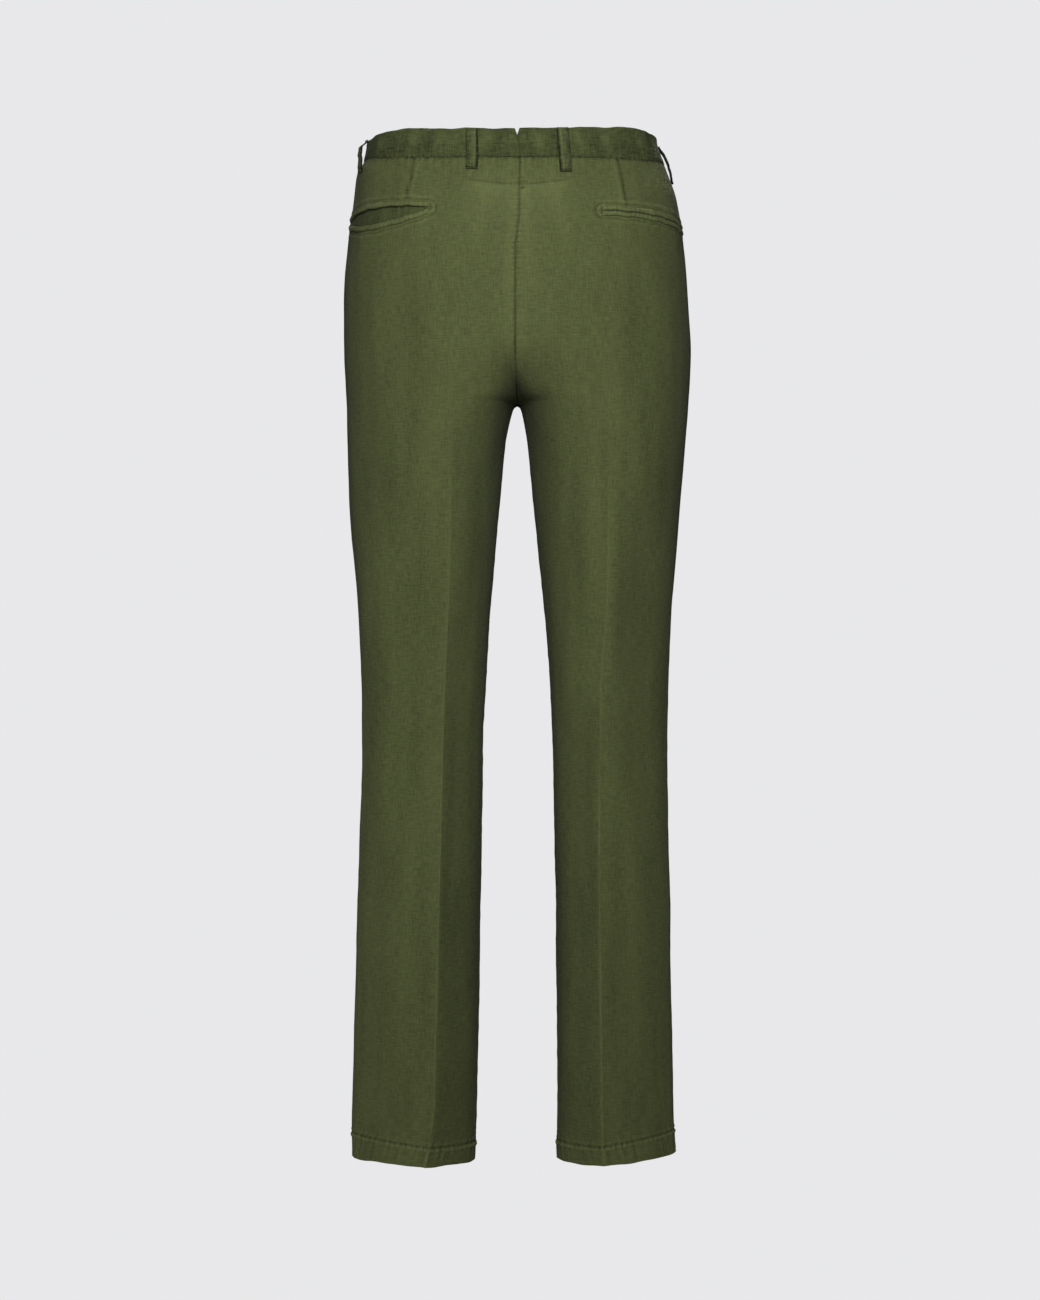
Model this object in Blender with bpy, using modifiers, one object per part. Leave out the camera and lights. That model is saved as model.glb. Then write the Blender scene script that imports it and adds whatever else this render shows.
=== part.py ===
"""Linen tailored trousers, filled out as if worn, with pressed creases and jetted back pockets.

Metres, +Z up, the wearer faces -Y and the wearer's left is +X. The origin is the centre of the
waist opening at half the height of the waistband, where a wearer holds the garment up.

Each half of the garment is one skin. At every height a section runs from the centre back round
the side to the centre front. At the hips it is half of a rounded oval, and below the crotch it
is the ring of one leg. A step along the section counts quarters: 0 centre back or inseam,
1 back crease, 2 side, 3 front crease, 4 centre front or inseam again. The pieces are walls cut
from the two skins, and what lies on a panel is the same skin moved out.
"""
import math
from functools import lru_cache

import bpy
from mathutils import Vector

MM = 0.001

# Driving dimensions, in millimetres
BAND_TOP = 15.0
BAND_SEAM = -15.0
CROTCH = -257.0
HEM = -1046.0
HEM_TURN = 25.0
SEAM_GAP = 0.3
PANEL_WALL = 1.5
HEM_WALL = 2.6
BAND_WALL = 2.4
BAND_PROUD = 0.6
LOOP_WIDTH = 12.0
LOOP_WALL = 2.8
JET_WALL = 1.2
JET_HEIGHT = 5.5
FLY_WALL = 1.2
BUTTON_RADIUS = 7.5
BUTTON_THICK = 3.0

# The fork: heights where the centre back and centre front seams start to turn under
BACK_FORK_TOP = -190.0
FRONT_FORK_TOP = -178.0
ARCH = 12.0
# Where the oval of the hips, which starts to change at the fork, has become the rings of the legs
LEG_START = -345.0

# The outline from behind: distance from the centre plane to the outer and inner edge
OUTLINE = (
    ("z", "outer_left", "outer_right", "inner_left", "inner_right"),
    (15, 157.0, 145.5, 8.4, 7.6),
    (-15, 160.5, 154.0, 8.4, 7.6),
    (-27, 167.5, 158.7, 8.4, 7.6),
    (-50, 170.5, 166.5, 8.4, 7.6),
    (-100, 177.8, 175.0, 8.4, 7.6),
    (-150, 181.2, 179.1, 8.4, 7.6),
    (-200, 181.1, 181.7, 8.4, 7.6),
    (-257, 179.3, 179.2, 8.4, 7.6),
    (-300, 178.1, 176.1, 12.7, 11.4),
    (-380, 175.0, 169.5, 20.4, 19.0),
    (-480, 166.0, 161.5, 28.7, 28.7),
    (-600, 162.5, 157.5, 35.7, 36.6),
    (-750, 165.9, 159.3, 38.4, 39.4),
    (-900, 170.7, 161.7, 40.8, 41.4),
    (-1000, 172.5, 163.5, 42.8, 42.3),
    (-1046, 172.6, 165.7, 44.4, 41.5),
)

# The outline from the side, and the rounding of the hip oval (2 is an ellipse, more is squarer)
PROFILE = (
    ("z", "back", "front", "side_y", "inner_y", "square"),
    (15, 105.0, -103.0, 0.0, -8.0, 2.9),
    (-15, 108.0, -106.0, 0.0, -8.0, 2.7),
    (-50, 118.0, -110.0, 0.0, -8.0, 2.5),
    (-100, 130.0, -113.0, -1.0, -8.0, 2.35),
    (-150, 137.0, -113.0, -2.0, -8.0, 2.3),
    (-200, 137.0, -113.0, -2.0, -8.0, 2.3),
    (-257, 124.0, -113.0, -1.0, -8.0, 2.3),
    (-300, 115.0, -112.0, 0.0, -7.0, 2.3),
    (-380, 104.0, -105.0, 1.0, -4.0, 2.3),
    (-480, 93.0, -93.0, 2.0, 0.0, 2.3),
    (-600, 82.0, -79.0, 3.0, 2.0, 2.3),
    (-750, 83.0, -67.0, 5.0, 4.0, 2.3),
    (-900, 78.0, -62.0, 6.0, 5.0, 2.3),
    (-1000, 73.0, -61.0, 6.0, 6.0, 2.3),
    (-1046, 71.0, -61.0, 6.0, 6.0, 2.3),
)

# The pressed creases: their place across the leg, as a share of its width from the inner edge,
# and how sharp they are (0 is an oval leg, 1 a leg that meets in an edge)
CREASES = (
    ("z", "back_left", "back_right", "front_left", "front_right", "press"),
    (15, 0.36, 0.40, 0.52, 0.50, 0.0),
    (-200, 0.35, 0.45, 0.54, 0.52, 0.0),
    (-300, 0.33, 0.50, 0.57, 0.54, 0.25),
    (-450, 0.30, 0.48, 0.61, 0.57, 0.5),
    (-560, 0.31, 0.41, 0.62, 0.60, 0.65),
    (-800, 0.32, 0.37, 0.62, 0.61, 0.75),
    (-980, 0.33, 0.37, 0.61, 0.61, 0.75),
    (-1046, 0.39, 0.385, 0.60, 0.60, 0.7),
)

# How far the top edge, the waist seam and the hem rise or dip all round, and the place of the
# side seam down the leg
WAIST_LIFT = (
    ("quarter", "top_left", "top_right", "seam_left", "seam_right"),
    (0.0, 0.0, 0.0, 0.0, 0.0),
    (1.0, 0.5, 1.5, 0.5, 0.5),
    (1.45, 2.5, 4.5, 3.5, 1.5),
    (1.85, -2.0, 2.5, 9.0, 5.5),
    (2.2, -2.0, 0.0, 8.0, 5.0),
    (3.0, -5.0, -5.0, -1.0, -1.0),
    (4.0, -8.0, -8.0, -8.0, -8.0),
)
LIFT_FADE = 120.0
HEM_LIFT = (
    ("quarter", "left", "right"),
    (0.0, -1.5, 0.0),
    (1.0, -0.5, 0.5),
    (1.6, 1.0, 4.0),
    (2.0, 1.5, 6.0),
    (3.0, 0.0, 1.0),
    (4.0, -1.5, 0.0),
)
HEM_FADE = 70.0
SIDE_SEAM = (
    ("z", "quarter"),
    (15, 2.10),
    (-200, 2.08),
    (-600, 2.0),
    (-1046, 1.93),
)

# The belt loops: the side they are on (1 wearer's left, -1 right), how far along the band from
# the centre back seam their upper and lower ends lie, their heights, and how far they stand off
LOOPS = (
    ("name", "side", "along_top", "along_bottom", "top", "bottom", "stand_off"),
    ("loop_back_left", 1, 46.0, 46.0, 14.6, -28.0, 3.0),
    ("loop_back_right", -1, 46.0, 49.5, 14.6, -31.0, 3.0),
    ("loop_side_left", 1, 182.0, 185.0, 14.6, -29.0, 4.6),
    ("loop_side_right", -1, 211.0, 215.0, 10.0, -33.0, 2.4),
    ("loop_front_left", 1, 356.0, 371.0, 14.0, -30.0, 3.0),
    ("loop_front_right", -1, 336.0, 359.0, 14.0, -30.0, 3.0),
)

# The back pocket mouths: along the skin from the centre back seam, and the height of the mouth
# at its inner end, middle and outer end; gape is how far the lower lip hangs open
POCKETS = (
    ("name", "side", "inner_end", "outer_end", "height_in", "height_mid", "height_out", "gape"),
    ("left", 1, 89.0, 221.0, -67.0, -66.0, -76.0, 15.5),
    ("right", -1, 87.0, 219.0, -70.0, -72.5, -82.0, 0.0),
)

# A gaping lip leans out by this share of its droop
LIP_OUT = 0.12

# The part of a gaping mouth, as shares of its length, behind which the facing shows
FACING_SHOWN = (0.06, 0.94)

# The fly: a strip with a free edge just past the centre front and a rounded lower end
FLY_WIDTH = 36.0
FLY_LAP = 4.0
FLY_STRAIGHT_END = -138.0
FLY_END = -174.0

# The front ends of the band: the left end laps over the right one, which steps inwards
LAP_OVER = 16.0
LAP_UNDER = 22.0
LAP_STEP = 3.0
LAP_STEP_START = 33.0
LAP_STEP_END = 19.0

# The notch at the top of the band's centre back seam
NOTCH_DEPTH = 7.0

LINEN_COLOUR = (0.095, 0.108, 0.050, 1.0)
FACING_COLOUR = (0.072, 0.083, 0.037, 1.0)
BUTTON_COLOUR = (0.045, 0.038, 0.022, 1.0)


# ---- reading the tables ----

@lru_cache(maxsize=None)
def read(table, name, at):
    """The value of a named column at a place between two rows, on a smooth curve."""
    index = table[0].index(name)
    rows = sorted(table[1:])
    places = [row[0] for row in rows]
    values = [row[index] for row in rows]
    at = min(max(at, places[0]), places[-1])
    k = 0
    while k < len(places) - 2 and at > places[k + 1]:
        k += 1

    def slope(n):
        if n == 0 or n == len(places) - 1:
            return 0.0 if n else (values[1] - values[0]) / (places[1] - places[0])
        before = (values[n] - values[n - 1]) / (places[n] - places[n - 1])
        after = (values[n + 1] - values[n]) / (places[n + 1] - places[n])
        if before * after <= 0.0:
            return 0.0
        return 2.0 * before * after / (before + after)

    step = places[k + 1] - places[k]
    t = (at - places[k]) / step
    rise_in, rise_out = slope(k) * step, slope(k + 1) * step
    return ((2 * t**3 - 3 * t**2 + 1) * values[k] + (t**3 - 2 * t**2 + t) * rise_in
            + (3 * t**2 - 2 * t**3) * values[k + 1] + (t**3 - t**2) * rise_out)


def smooth(t):
    t = min(max(t, 0.0), 1.0)
    return t * t * (3.0 - 2.0 * t)


def fork(z, top):
    """How far the centre seam has turned under at a height: 0 above the fork, 1 at the crotch."""
    u = min(max((top - z) / (top - CROTCH), 0.0), 1.0)
    return 1.0 - math.sqrt(1.0 - u * u)


# ---- the skin of one half ----

@lru_cache(maxsize=None)
def section(side, z):
    """Every size of one half's section at a height."""
    name = "left" if side > 0 else "right"
    outer = read(OUTLINE, "outer_" + name, z)
    below = CROTCH - z
    spread = read(OUTLINE, "inner_" + name, z)
    inner = spread * math.sqrt(1.0 - math.exp(-below / ARCH)) if below > 0.0 else 0.0
    return {
        "outer": outer,
        "inner": inner,
        "back_crease": spread + (outer - spread) * read(CREASES, "back_" + name, z),
        "front_crease": spread + (outer - spread) * read(CREASES, "front_" + name, z),
        "back": read(PROFILE, "back", z),
        "front": read(PROFILE, "front", z),
        "side_y": read(PROFILE, "side_y", z),
        "inner_y": read(PROFILE, "inner_y", z),
        "square": read(PROFILE, "square", z),
        "press": read(CREASES, "press", z),
    }


def edge_lift(side, quarter, z):
    """How far the cloth lies above its nominal height, near the waist and near the hem."""
    name = "left" if side > 0 else "right"
    if z < BAND_SEAM - LIFT_FADE:
        return read(HEM_LIFT, name, quarter) * smooth(1.0 - (z - HEM) / HEM_FADE)
    top = read(WAIST_LIFT, "top_" + name, quarter)
    seam = read(WAIST_LIFT, "seam_" + name, quarter)
    down_band = min(max((BAND_TOP - z) / (BAND_TOP - BAND_SEAM), 0.0), 1.0)
    return (top + (seam - top) * down_band) * (1.0 - smooth((BAND_SEAM - z) / LIFT_FADE))


def skin(side, quarter, z):
    """A point of the skin in millimetres; past either end it goes on round the garment."""
    if quarter < 0.0 or quarter > 4.0:
        over = -quarter if quarter < 0.0 else 8.0 - quarter
        if z >= CROTCH:
            return skin(-side, over, z)
        return skin(side, 4.0 + quarter if quarter < 0.0 else quarter - 4.0, z)
    cut = section(side, z)
    on_back = quarter <= 2.0
    crease = cut["back_crease" if on_back else "front_crease"]
    depth_end = cut["back" if on_back else "front"]
    near_side = 1.0 < quarter < 3.0
    edge = cut["outer"] if near_side else cut["inner"]
    edge_y = cut["side_y"] if near_side else cut["inner_y"]
    turn = math.radians(90.0) * abs(quarter - (1.0 if on_back else 3.0))
    across = max(math.sin(turn), 0.0) ** (1.0 + cut["press"])
    x = crease + (edge - crease) * across
    leg_y = edge_y + (depth_end - edge_y) * max(math.cos(turn), 0.0)
    share = min(abs(x) / cut["outer"], 1.0)
    oval = (1.0 - share ** cut["square"]) ** (1.0 / cut["square"])
    hip_y = cut["side_y"] + (depth_end - cut["side_y"]) * oval
    fork_top = BACK_FORK_TOP if on_back else FRONT_FORK_TOP
    as_leg = smooth((fork_top - z) / (fork_top - LEG_START))
    if not near_side:
        as_leg += (fork(z, fork_top) - as_leg) * math.sin(turn) ** 2
    y = hip_y + (leg_y - hip_y) * as_leg
    return Vector((side * max(x, SEAM_GAP / 2), y, z + edge_lift(side, quarter, z)))


def outward(side, quarter, z, above, below):
    """The direction that points out of the cloth, from the skin's neighbours on each side."""
    step = 0.06
    ahead, behind = quarter + step, quarter - step
    if z >= CROTCH:
        ahead = min(ahead, 4.0) if quarter <= 4.0 else ahead
        behind = max(behind, 0.0) if quarter >= 0.0 else behind
        if quarter < step:
            ahead = quarter + 2 * step
        if 4.0 >= quarter > 4.0 - step:
            behind = quarter - 2 * step
    along = skin(side, ahead, z) - skin(side, behind, z)
    down = skin(side, quarter, below) - skin(side, quarter, above)
    return side * along.cross(down).normalized()


def moved_out(side, quarter, z, distance):
    """A point of the skin moved out by a distance, for what lies on a panel."""
    return skin(side, quarter, z) + outward(side, quarter, z, z + 4.0, z - 4.0) * distance


@lru_cache(maxsize=None)
def lengths(side, z):
    """Length along the section from the centre back seam, at even steps of the quarters."""
    steps = 240
    total, marks = 0.0, [0.0]
    for k in range(steps):
        here = skin(side, 4.0 * k / steps, z)
        total += (skin(side, 4.0 * (k + 1) / steps, z) - here).length
        marks.append(total)
    return marks


def quarter_at(side, along, z):
    """The quarter that lies a length along the section from the centre back seam."""
    marks = lengths(side, round(z, 2))
    if along > marks[-1]:
        return 8.0 - quarter_at(-side, lengths(-side, round(z, 2))[-1] - (along - marks[-1]), z)
    k = 1
    while k < len(marks) - 1 and marks[k] < along:
        k += 1
    part = (along - marks[k - 1]) / max(marks[k] - marks[k - 1], 1e-9)
    return 4.0 * (k - 1 + part) / (len(marks) - 1)


def front_quarter_at(side, from_front, z):
    """The quarter that lies a length back from the centre front; less than 0 is past it."""
    return quarter_at(side, lengths(side, round(z, 2))[-1] - from_front, z)


# ---- making walls ----

def new_material(name, colour, roughness):
    material = bpy.data.materials.new(name)
    material.use_nodes = True
    shader = material.node_tree.nodes["Principled BSDF"]
    shader.inputs["Base Color"].default_value = colour
    shader.inputs["Roughness"].default_value = roughness
    shader.inputs["Metallic"].default_value = 0.0
    return material


def wall(name, outer, inner, material, collection, turned_over):
    """A closed wall between an outer and an inner grid of points, rows by columns."""
    rows, columns = len(outer), len(outer[0])
    points = [p * MM for grid in (outer, inner) for row in grid for p in row]
    inner_start = rows * columns
    faces = []

    def at(row, column, inside):
        return row * columns + column + (inner_start if inside else 0)

    for i in range(rows - 1):
        for j in range(columns - 1):
            faces.append([at(i, j, 0), at(i, j + 1, 0), at(i + 1, j + 1, 0), at(i + 1, j, 0)])
            faces.append([at(i, j, 1), at(i + 1, j, 1), at(i + 1, j + 1, 1), at(i, j + 1, 1)])
    for j in range(columns - 1):
        last = rows - 1
        faces.append([at(0, j, 0), at(0, j, 1), at(0, j + 1, 1), at(0, j + 1, 0)])
        faces.append([at(last, j, 0), at(last, j + 1, 0), at(last, j + 1, 1), at(last, j, 1)])
    for i in range(rows - 1):
        last = columns - 1
        faces.append([at(i, 0, 0), at(i + 1, 0, 0), at(i + 1, 0, 1), at(i, 0, 1)])
        faces.append([at(i, last, 0), at(i, last, 1), at(i + 1, last, 1), at(i + 1, last, 0)])
    if turned_over:
        faces = [face[::-1] for face in faces]
    mesh = bpy.data.meshes.new(name)
    mesh.from_pydata(points, [], faces)
    mesh.materials.append(material)
    mesh.shade_smooth()
    mesh.set_sharp_from_angle(angle=math.radians(50.0))
    piece = bpy.data.objects.new(name, mesh)
    collection.objects.link(piece)
    return piece


def panel_heights():
    """The rows of a panel, closer together round the fork and the arch between the legs."""
    below_band = BAND_SEAM - SEAM_GAP / 2
    hips = [below_band, -24, -36, -50, -66, -84, -104, -126, -150, -172]
    fork_rows = [BACK_FORK_TOP + (CROTCH - BACK_FORK_TOP) * math.sin(math.radians(turn))
                 for turn in (0, 18, 35, 50, 63, 76, 90)]
    arch_rows = [CROTCH - drop for drop in (1.8, 6, 13, 25, 43, 68, 103)]
    leg_rows = [-410, -465, -525, -590, -660, -740, -820, -900, -970]
    hem_rows = [HEM + HEM_TURN, HEM + HEM_TURN - 2.0, HEM + 9.0, HEM]
    return hips + fork_rows + arch_rows + leg_rows + hem_rows


def wall_direction(side, quarter, heights, i):
    """Outward direction at a row of a wall; level at the waist seam, where two walls meet."""
    above = heights[i - 1] if i else heights[i] + 6.0
    below = heights[i + 1] if i < len(heights) - 1 else heights[i] - 6.0
    out = outward(side, quarter, heights[i], above, below)
    if abs(heights[i] - BAND_SEAM) < SEAM_GAP:
        out.z = 0.0
        out.normalize()
    return out


def panel_quarters(half, z):
    """The columns of a panel at a height, closer together at its pressed crease."""
    shares = (0.0, 0.17, 0.34, 0.52, 0.70, 0.86, 1.0, 1.09, 1.20, 1.32, 1.45, 1.58, 1.72, 1.86, 2.0)
    if half == "front":
        shares = tuple(2.0 - share for share in reversed(shares))
    seam = read(SIDE_SEAM, "quarter", z)
    start, crease, end = (0.0, 1.0, seam) if half == "back" else (seam, 3.0, 4.0)
    return [start + (crease - start) * share if share <= 1.0 else crease + (end - crease) * (share - 1.0)
            for share in shares]


def build_panel(name, side, half, material, collection):
    """A front or back panel, from the centre seam and inseam to the side seam."""
    heights = panel_heights()
    outer, inner = [], []
    for i, z in enumerate(heights):
        thick = HEM_WALL if z < HEM + HEM_TURN - 1.0 else PANEL_WALL
        quarters = panel_quarters(half, z)
        outer_row, inner_row = [], []
        for quarter in quarters:
            point = skin(side, quarter, z)
            out = wall_direction(side, quarter, heights, i)
            at_start, at_end = quarter == quarters[0], quarter == quarters[-1]
            at_side_seam = at_end if half == "back" else at_start
            if at_side_seam or ((at_start or at_end) and z < CROTCH + 1.0):
                along = skin(side, quarter + (0.02 if at_start else -0.02), z) - point
                point = point + along.normalized() * (SEAM_GAP / 2)
            outer_row.append(point)
            inner_row.append(point - out * thick)
        outer.append(outer_row)
        inner.append(inner_row)
    return wall(name, outer, inner, material, collection, side < 0)


def band_columns(side, z):
    """Columns of the band at a height, as pairs of a quarter and how far the cloth steps in.

    They are those of the panels below it, and then those of the lap at the front.
    """
    below = panel_quarters("back", BAND_SEAM) + panel_quarters("front", BAND_SEAM)[1:]
    plain_end = LAP_STEP_START + 1.0
    plain = [q for q in below if q < front_quarter_at(side, plain_end, 0.0)]
    marks = (28.0, 16.0, 6.0, -LAP_OVER / 2, -LAP_OVER)
    if side < 0:
        marks = (LAP_STEP_START, 28.0, 23.5, LAP_STEP_END, 8.0, -LAP_UNDER / 2, -LAP_UNDER)
    lap = []
    for mark in marks:
        step = smooth((LAP_STEP_START - mark) / (LAP_STEP_START - LAP_STEP_END)) if side < 0 else 0.0
        lap.append((front_quarter_at(side, mark, z), LAP_STEP * step))
    return [(quarter, 0.0) for quarter in plain] + lap


def build_band(name, side, material, collection):
    """Half of the waistband, from the notched centre back seam to its end at the front."""
    heights = [BAND_TOP, BAND_TOP - 2.0, BAND_TOP - NOTCH_DEPTH - 2.0, -5.0, BAND_SEAM + SEAM_GAP / 2]
    outer, inner = [], []
    for i, z in enumerate(heights):
        outer_row, inner_row = [], []
        for quarter, step_in in band_columns(side, z):
            out = wall_direction(side, quarter, heights, i)
            point = skin(side, quarter, z) + out * (BAND_PROUD - step_in)
            if quarter == 0.0 and z > BAND_TOP - 3.0:
                point.z -= NOTCH_DEPTH * (1.0 if i == 0 else 0.8)
            outer_row.append(point)
            inner_row.append(point - out * BAND_WALL)
        outer.append(outer_row)
        inner.append(inner_row)
    return wall(name, outer, inner, material, collection, side < 0)


def build_loop(row, material, collection):
    """A belt loop: a strip sewn down at both ends that stands off the band between them."""
    name, side, along_top, along_bottom, top, bottom, stand_off = row
    outer, inner = [], []
    steps = 12
    for i in range(steps + 1):
        t = i / steps
        z = top + (bottom - top) * t
        rest = SEAM_GAP + BAND_PROUD * (1.0 - smooth((BAND_SEAM + 1.0 - z) / 4.0))
        lift = rest + stand_off * smooth(min(t, 1.0 - t) / 0.32)
        middle = along_top + (along_bottom - along_top) * t
        outer_row, inner_row = [], []
        for offset in (-0.5, 0.0, 0.5):
            quarter = quarter_at(side, middle + offset * LOOP_WIDTH, z)
            inner_row.append(moved_out(side, quarter, z, lift))
            outer_row.append(moved_out(side, quarter, z, lift + LOOP_WALL))
        outer.append(outer_row)
        inner.append(inner_row)
    return wall(name, outer, inner, material, collection, side < 0)


def mouth_height(row, t):
    """Height of a pocket's mouth, t from its inner to its outer end, through three heights."""
    height_in, height_mid, height_out = row[4:7]
    bow = height_mid - (height_in + height_out) / 2
    return height_in + (height_out - height_in) * t + 4.0 * bow * t * (1.0 - t)


def build_strip(name, row, edges, rests, thick, material, collection):
    """A strip along a pocket mouth between two edges, moved out from the back panel."""
    side, inner_end, outer_end = row[1:4]
    steps = 16
    columns = [k / steps for k in range(steps + 1)]
    outer, inner = [], []
    for level in (0.0, 0.5, 1.0):
        outer_row, inner_row = [], []
        for t in columns:
            upper, lower = edges(t)
            z = upper + (lower - upper) * level
            quarter = quarter_at(side, inner_end + (outer_end - inner_end) * t, z)
            rest = rests(t, level)
            inner_row.append(moved_out(side, quarter, z, rest))
            outer_row.append(moved_out(side, quarter, z, rest + thick))
        outer.append(outer_row)
        inner.append(inner_row)
    return wall(name, outer, inner, material, collection, side < 0)


def build_pocket(row, material, facing_material, collection):
    """The two jets of a back pocket, and the facing where the mouth hangs open."""
    name, gape = row[0], row[-1]

    def droop(t):
        return gape * max(math.sin(math.pi * t), 0.0) ** 0.8

    def upper_edges(t):
        return mouth_height(row, t) + JET_HEIGHT, mouth_height(row, t) + SEAM_GAP / 2

    def lower_edges(t):
        lip = mouth_height(row, t) - SEAM_GAP / 2 - droop(t)
        return lip, lip - JET_HEIGHT

    def facing_edges(t):
        shown = FACING_SHOWN[0] + (FACING_SHOWN[1] - FACING_SHOWN[0]) * t
        top = mouth_height(row, shown) - SEAM_GAP
        return top, top - droop(shown) + SEAM_GAP

    def flat(t, level):
        return SEAM_GAP

    def lip_out(t, level):
        return SEAM_GAP + LIP_OUT * droop(t) * (1.0 - level)

    build_strip("pocket_jet_upper_" + name, row, upper_edges, flat, JET_WALL, material, collection)
    build_strip("pocket_jet_lower_" + name, row, lower_edges, lip_out, JET_WALL, material, collection)
    if gape:
        ends = tuple(row[2] + (row[3] - row[2]) * share for share in FACING_SHOWN)
        shown_row = row[:2] + ends + row[4:]
        build_strip("pocket_facing_" + name, shown_row, facing_edges, flat, 0.9 * JET_WALL,
                    facing_material, collection)


def build_fly(material, collection):
    """The fly placket on the left front, with its lower end rounded into the front seam."""
    straight = [BAND_SEAM - SEAM_GAP, -45.0, -75.0, -105.0, FLY_STRAIGHT_END]
    depth = FLY_END - FLY_STRAIGHT_END
    curved = [FLY_STRAIGHT_END + depth * math.sin(math.radians(turn)) for turn in (18, 36, 52, 66, 78)]
    outer, inner = [], []
    for z in straight + curved:
        drop = max((z - FLY_STRAIGHT_END) / depth, 0.0)
        width = FLY_WIDTH * math.sqrt(1.0 - drop * drop)
        outer_row, inner_row = [], []
        for share in (0.0, 0.25, 0.5, 0.75, 1.0):
            from_front = width + (-FLY_LAP - width) * share
            quarter = front_quarter_at(1, from_front, z)
            inner_row.append(moved_out(1, quarter, z, SEAM_GAP))
            outer_row.append(moved_out(1, quarter, z, SEAM_GAP + FLY_WALL))
        outer.append(outer_row)
        inner.append(inner_row)
    return wall("fly_placket", outer, inner, material, collection, False)


def build_button(material, collection):
    """The waist button, a low disc with a rounded rim, seated on the band's lapped end."""
    quarter = front_quarter_at(1, 0.0, 0.0)
    out = outward(1, quarter, 0.0, 4.0, -4.0)
    seat = moved_out(1, quarter, 0.0, BAND_PROUD + SEAM_GAP + BUTTON_THICK / 2)
    bpy.ops.mesh.primitive_cylinder_add(vertices=40, radius=BUTTON_RADIUS * MM, depth=BUTTON_THICK * MM)
    button = bpy.context.object
    button.name = "waist_button"
    button.location = seat * MM
    button.rotation_euler = out.to_track_quat("Z", "Y").to_euler()
    rim = button.modifiers.new("rim", "BEVEL")
    rim.width = 0.8 * MM
    rim.segments = 2
    button.data.materials.append(material)
    button.data.shade_smooth()
    button.data.set_sharp_from_angle(angle=math.radians(50.0))
    for owner in list(button.users_collection):
        owner.objects.unlink(button)
    collection.objects.link(button)
    return button


def main():
    for old in list(bpy.data.objects):
        bpy.data.objects.remove(old, do_unlink=True)
    trousers = bpy.data.collections.new("linen_trousers")
    bpy.context.scene.collection.children.link(trousers)

    linen = new_material("linen", LINEN_COLOUR, 0.85)
    facing_linen = new_material("facing_linen", FACING_COLOUR, 0.9)
    button_horn = new_material("button_horn", BUTTON_COLOUR, 0.4)

    for side, hand in ((1, "left"), (-1, "right")):
        build_panel("back_panel_" + hand, side, "back", linen, trousers)
        build_panel("front_panel_" + hand, side, "front", linen, trousers)
        build_band("waistband_" + hand, side, linen, trousers)
    for row in LOOPS[1:]:
        build_loop(row, linen, trousers)
    for row in POCKETS[1:]:
        build_pocket(row, linen, facing_linen, trousers)
    build_fly(linen, trousers)
    build_button(button_horn, trousers)


main()
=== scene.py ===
"""The looks of linen tailored trousers: olive garment-dyed linen, filled out with no wearer.

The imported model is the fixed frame. Every cloth piece is a thin shell on the form of its CAD
solid, with the folds, puckers and seams that the solids leave out. Sizes are in millimetres
until a mesh is made, and a side is 1 for the wearer's left and -1 for the right.
"""
import math
from functools import lru_cache

import bpy
import numpy as np
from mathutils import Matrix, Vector, noise


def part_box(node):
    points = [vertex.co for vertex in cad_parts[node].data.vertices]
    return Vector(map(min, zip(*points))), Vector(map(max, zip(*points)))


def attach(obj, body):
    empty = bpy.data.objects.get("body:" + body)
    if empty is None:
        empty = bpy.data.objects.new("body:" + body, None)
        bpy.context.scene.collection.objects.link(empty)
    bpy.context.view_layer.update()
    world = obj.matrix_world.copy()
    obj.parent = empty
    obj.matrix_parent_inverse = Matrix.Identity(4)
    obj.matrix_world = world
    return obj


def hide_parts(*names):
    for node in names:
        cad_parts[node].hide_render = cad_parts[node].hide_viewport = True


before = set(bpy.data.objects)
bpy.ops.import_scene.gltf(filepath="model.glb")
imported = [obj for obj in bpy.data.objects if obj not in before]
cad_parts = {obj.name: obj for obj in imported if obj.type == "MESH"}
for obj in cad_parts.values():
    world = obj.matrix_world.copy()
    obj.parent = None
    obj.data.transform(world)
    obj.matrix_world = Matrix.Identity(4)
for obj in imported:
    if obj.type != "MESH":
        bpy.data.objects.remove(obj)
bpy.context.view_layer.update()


# ---- The leg panels ----
# Two back and two front panels of plain-weave linen. Each is cut in one piece from the waist
# seam to the hem, sewn at the centre, the inside leg and the side, and pressed with a crease.

MM = 0.001
# Heights: the waistband's edges, the crotch and the hem; where the centre seams start to turn
# under to the fork, and where the legs have their full round
BAND_TOP, BAND_SEAM, CROTCH, HEM = 15.0, -15.0, -257.0, -1046.0
BACK_FORK_TOP, FRONT_FORK_TOP, LEG_START = -190.0, -178.0, -345.0
# How soon the legs part below the crotch, and how far the lifts of the waist and hem reach
ARCH, LIFT_FADE, HEM_FADE = 12.0, 120.0, 70.0
# How quickly the pull of the fork dies away from the centre seam; more is narrower
FORK_REACH = 4.5
CLOTH_WALL = 0.9

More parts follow.
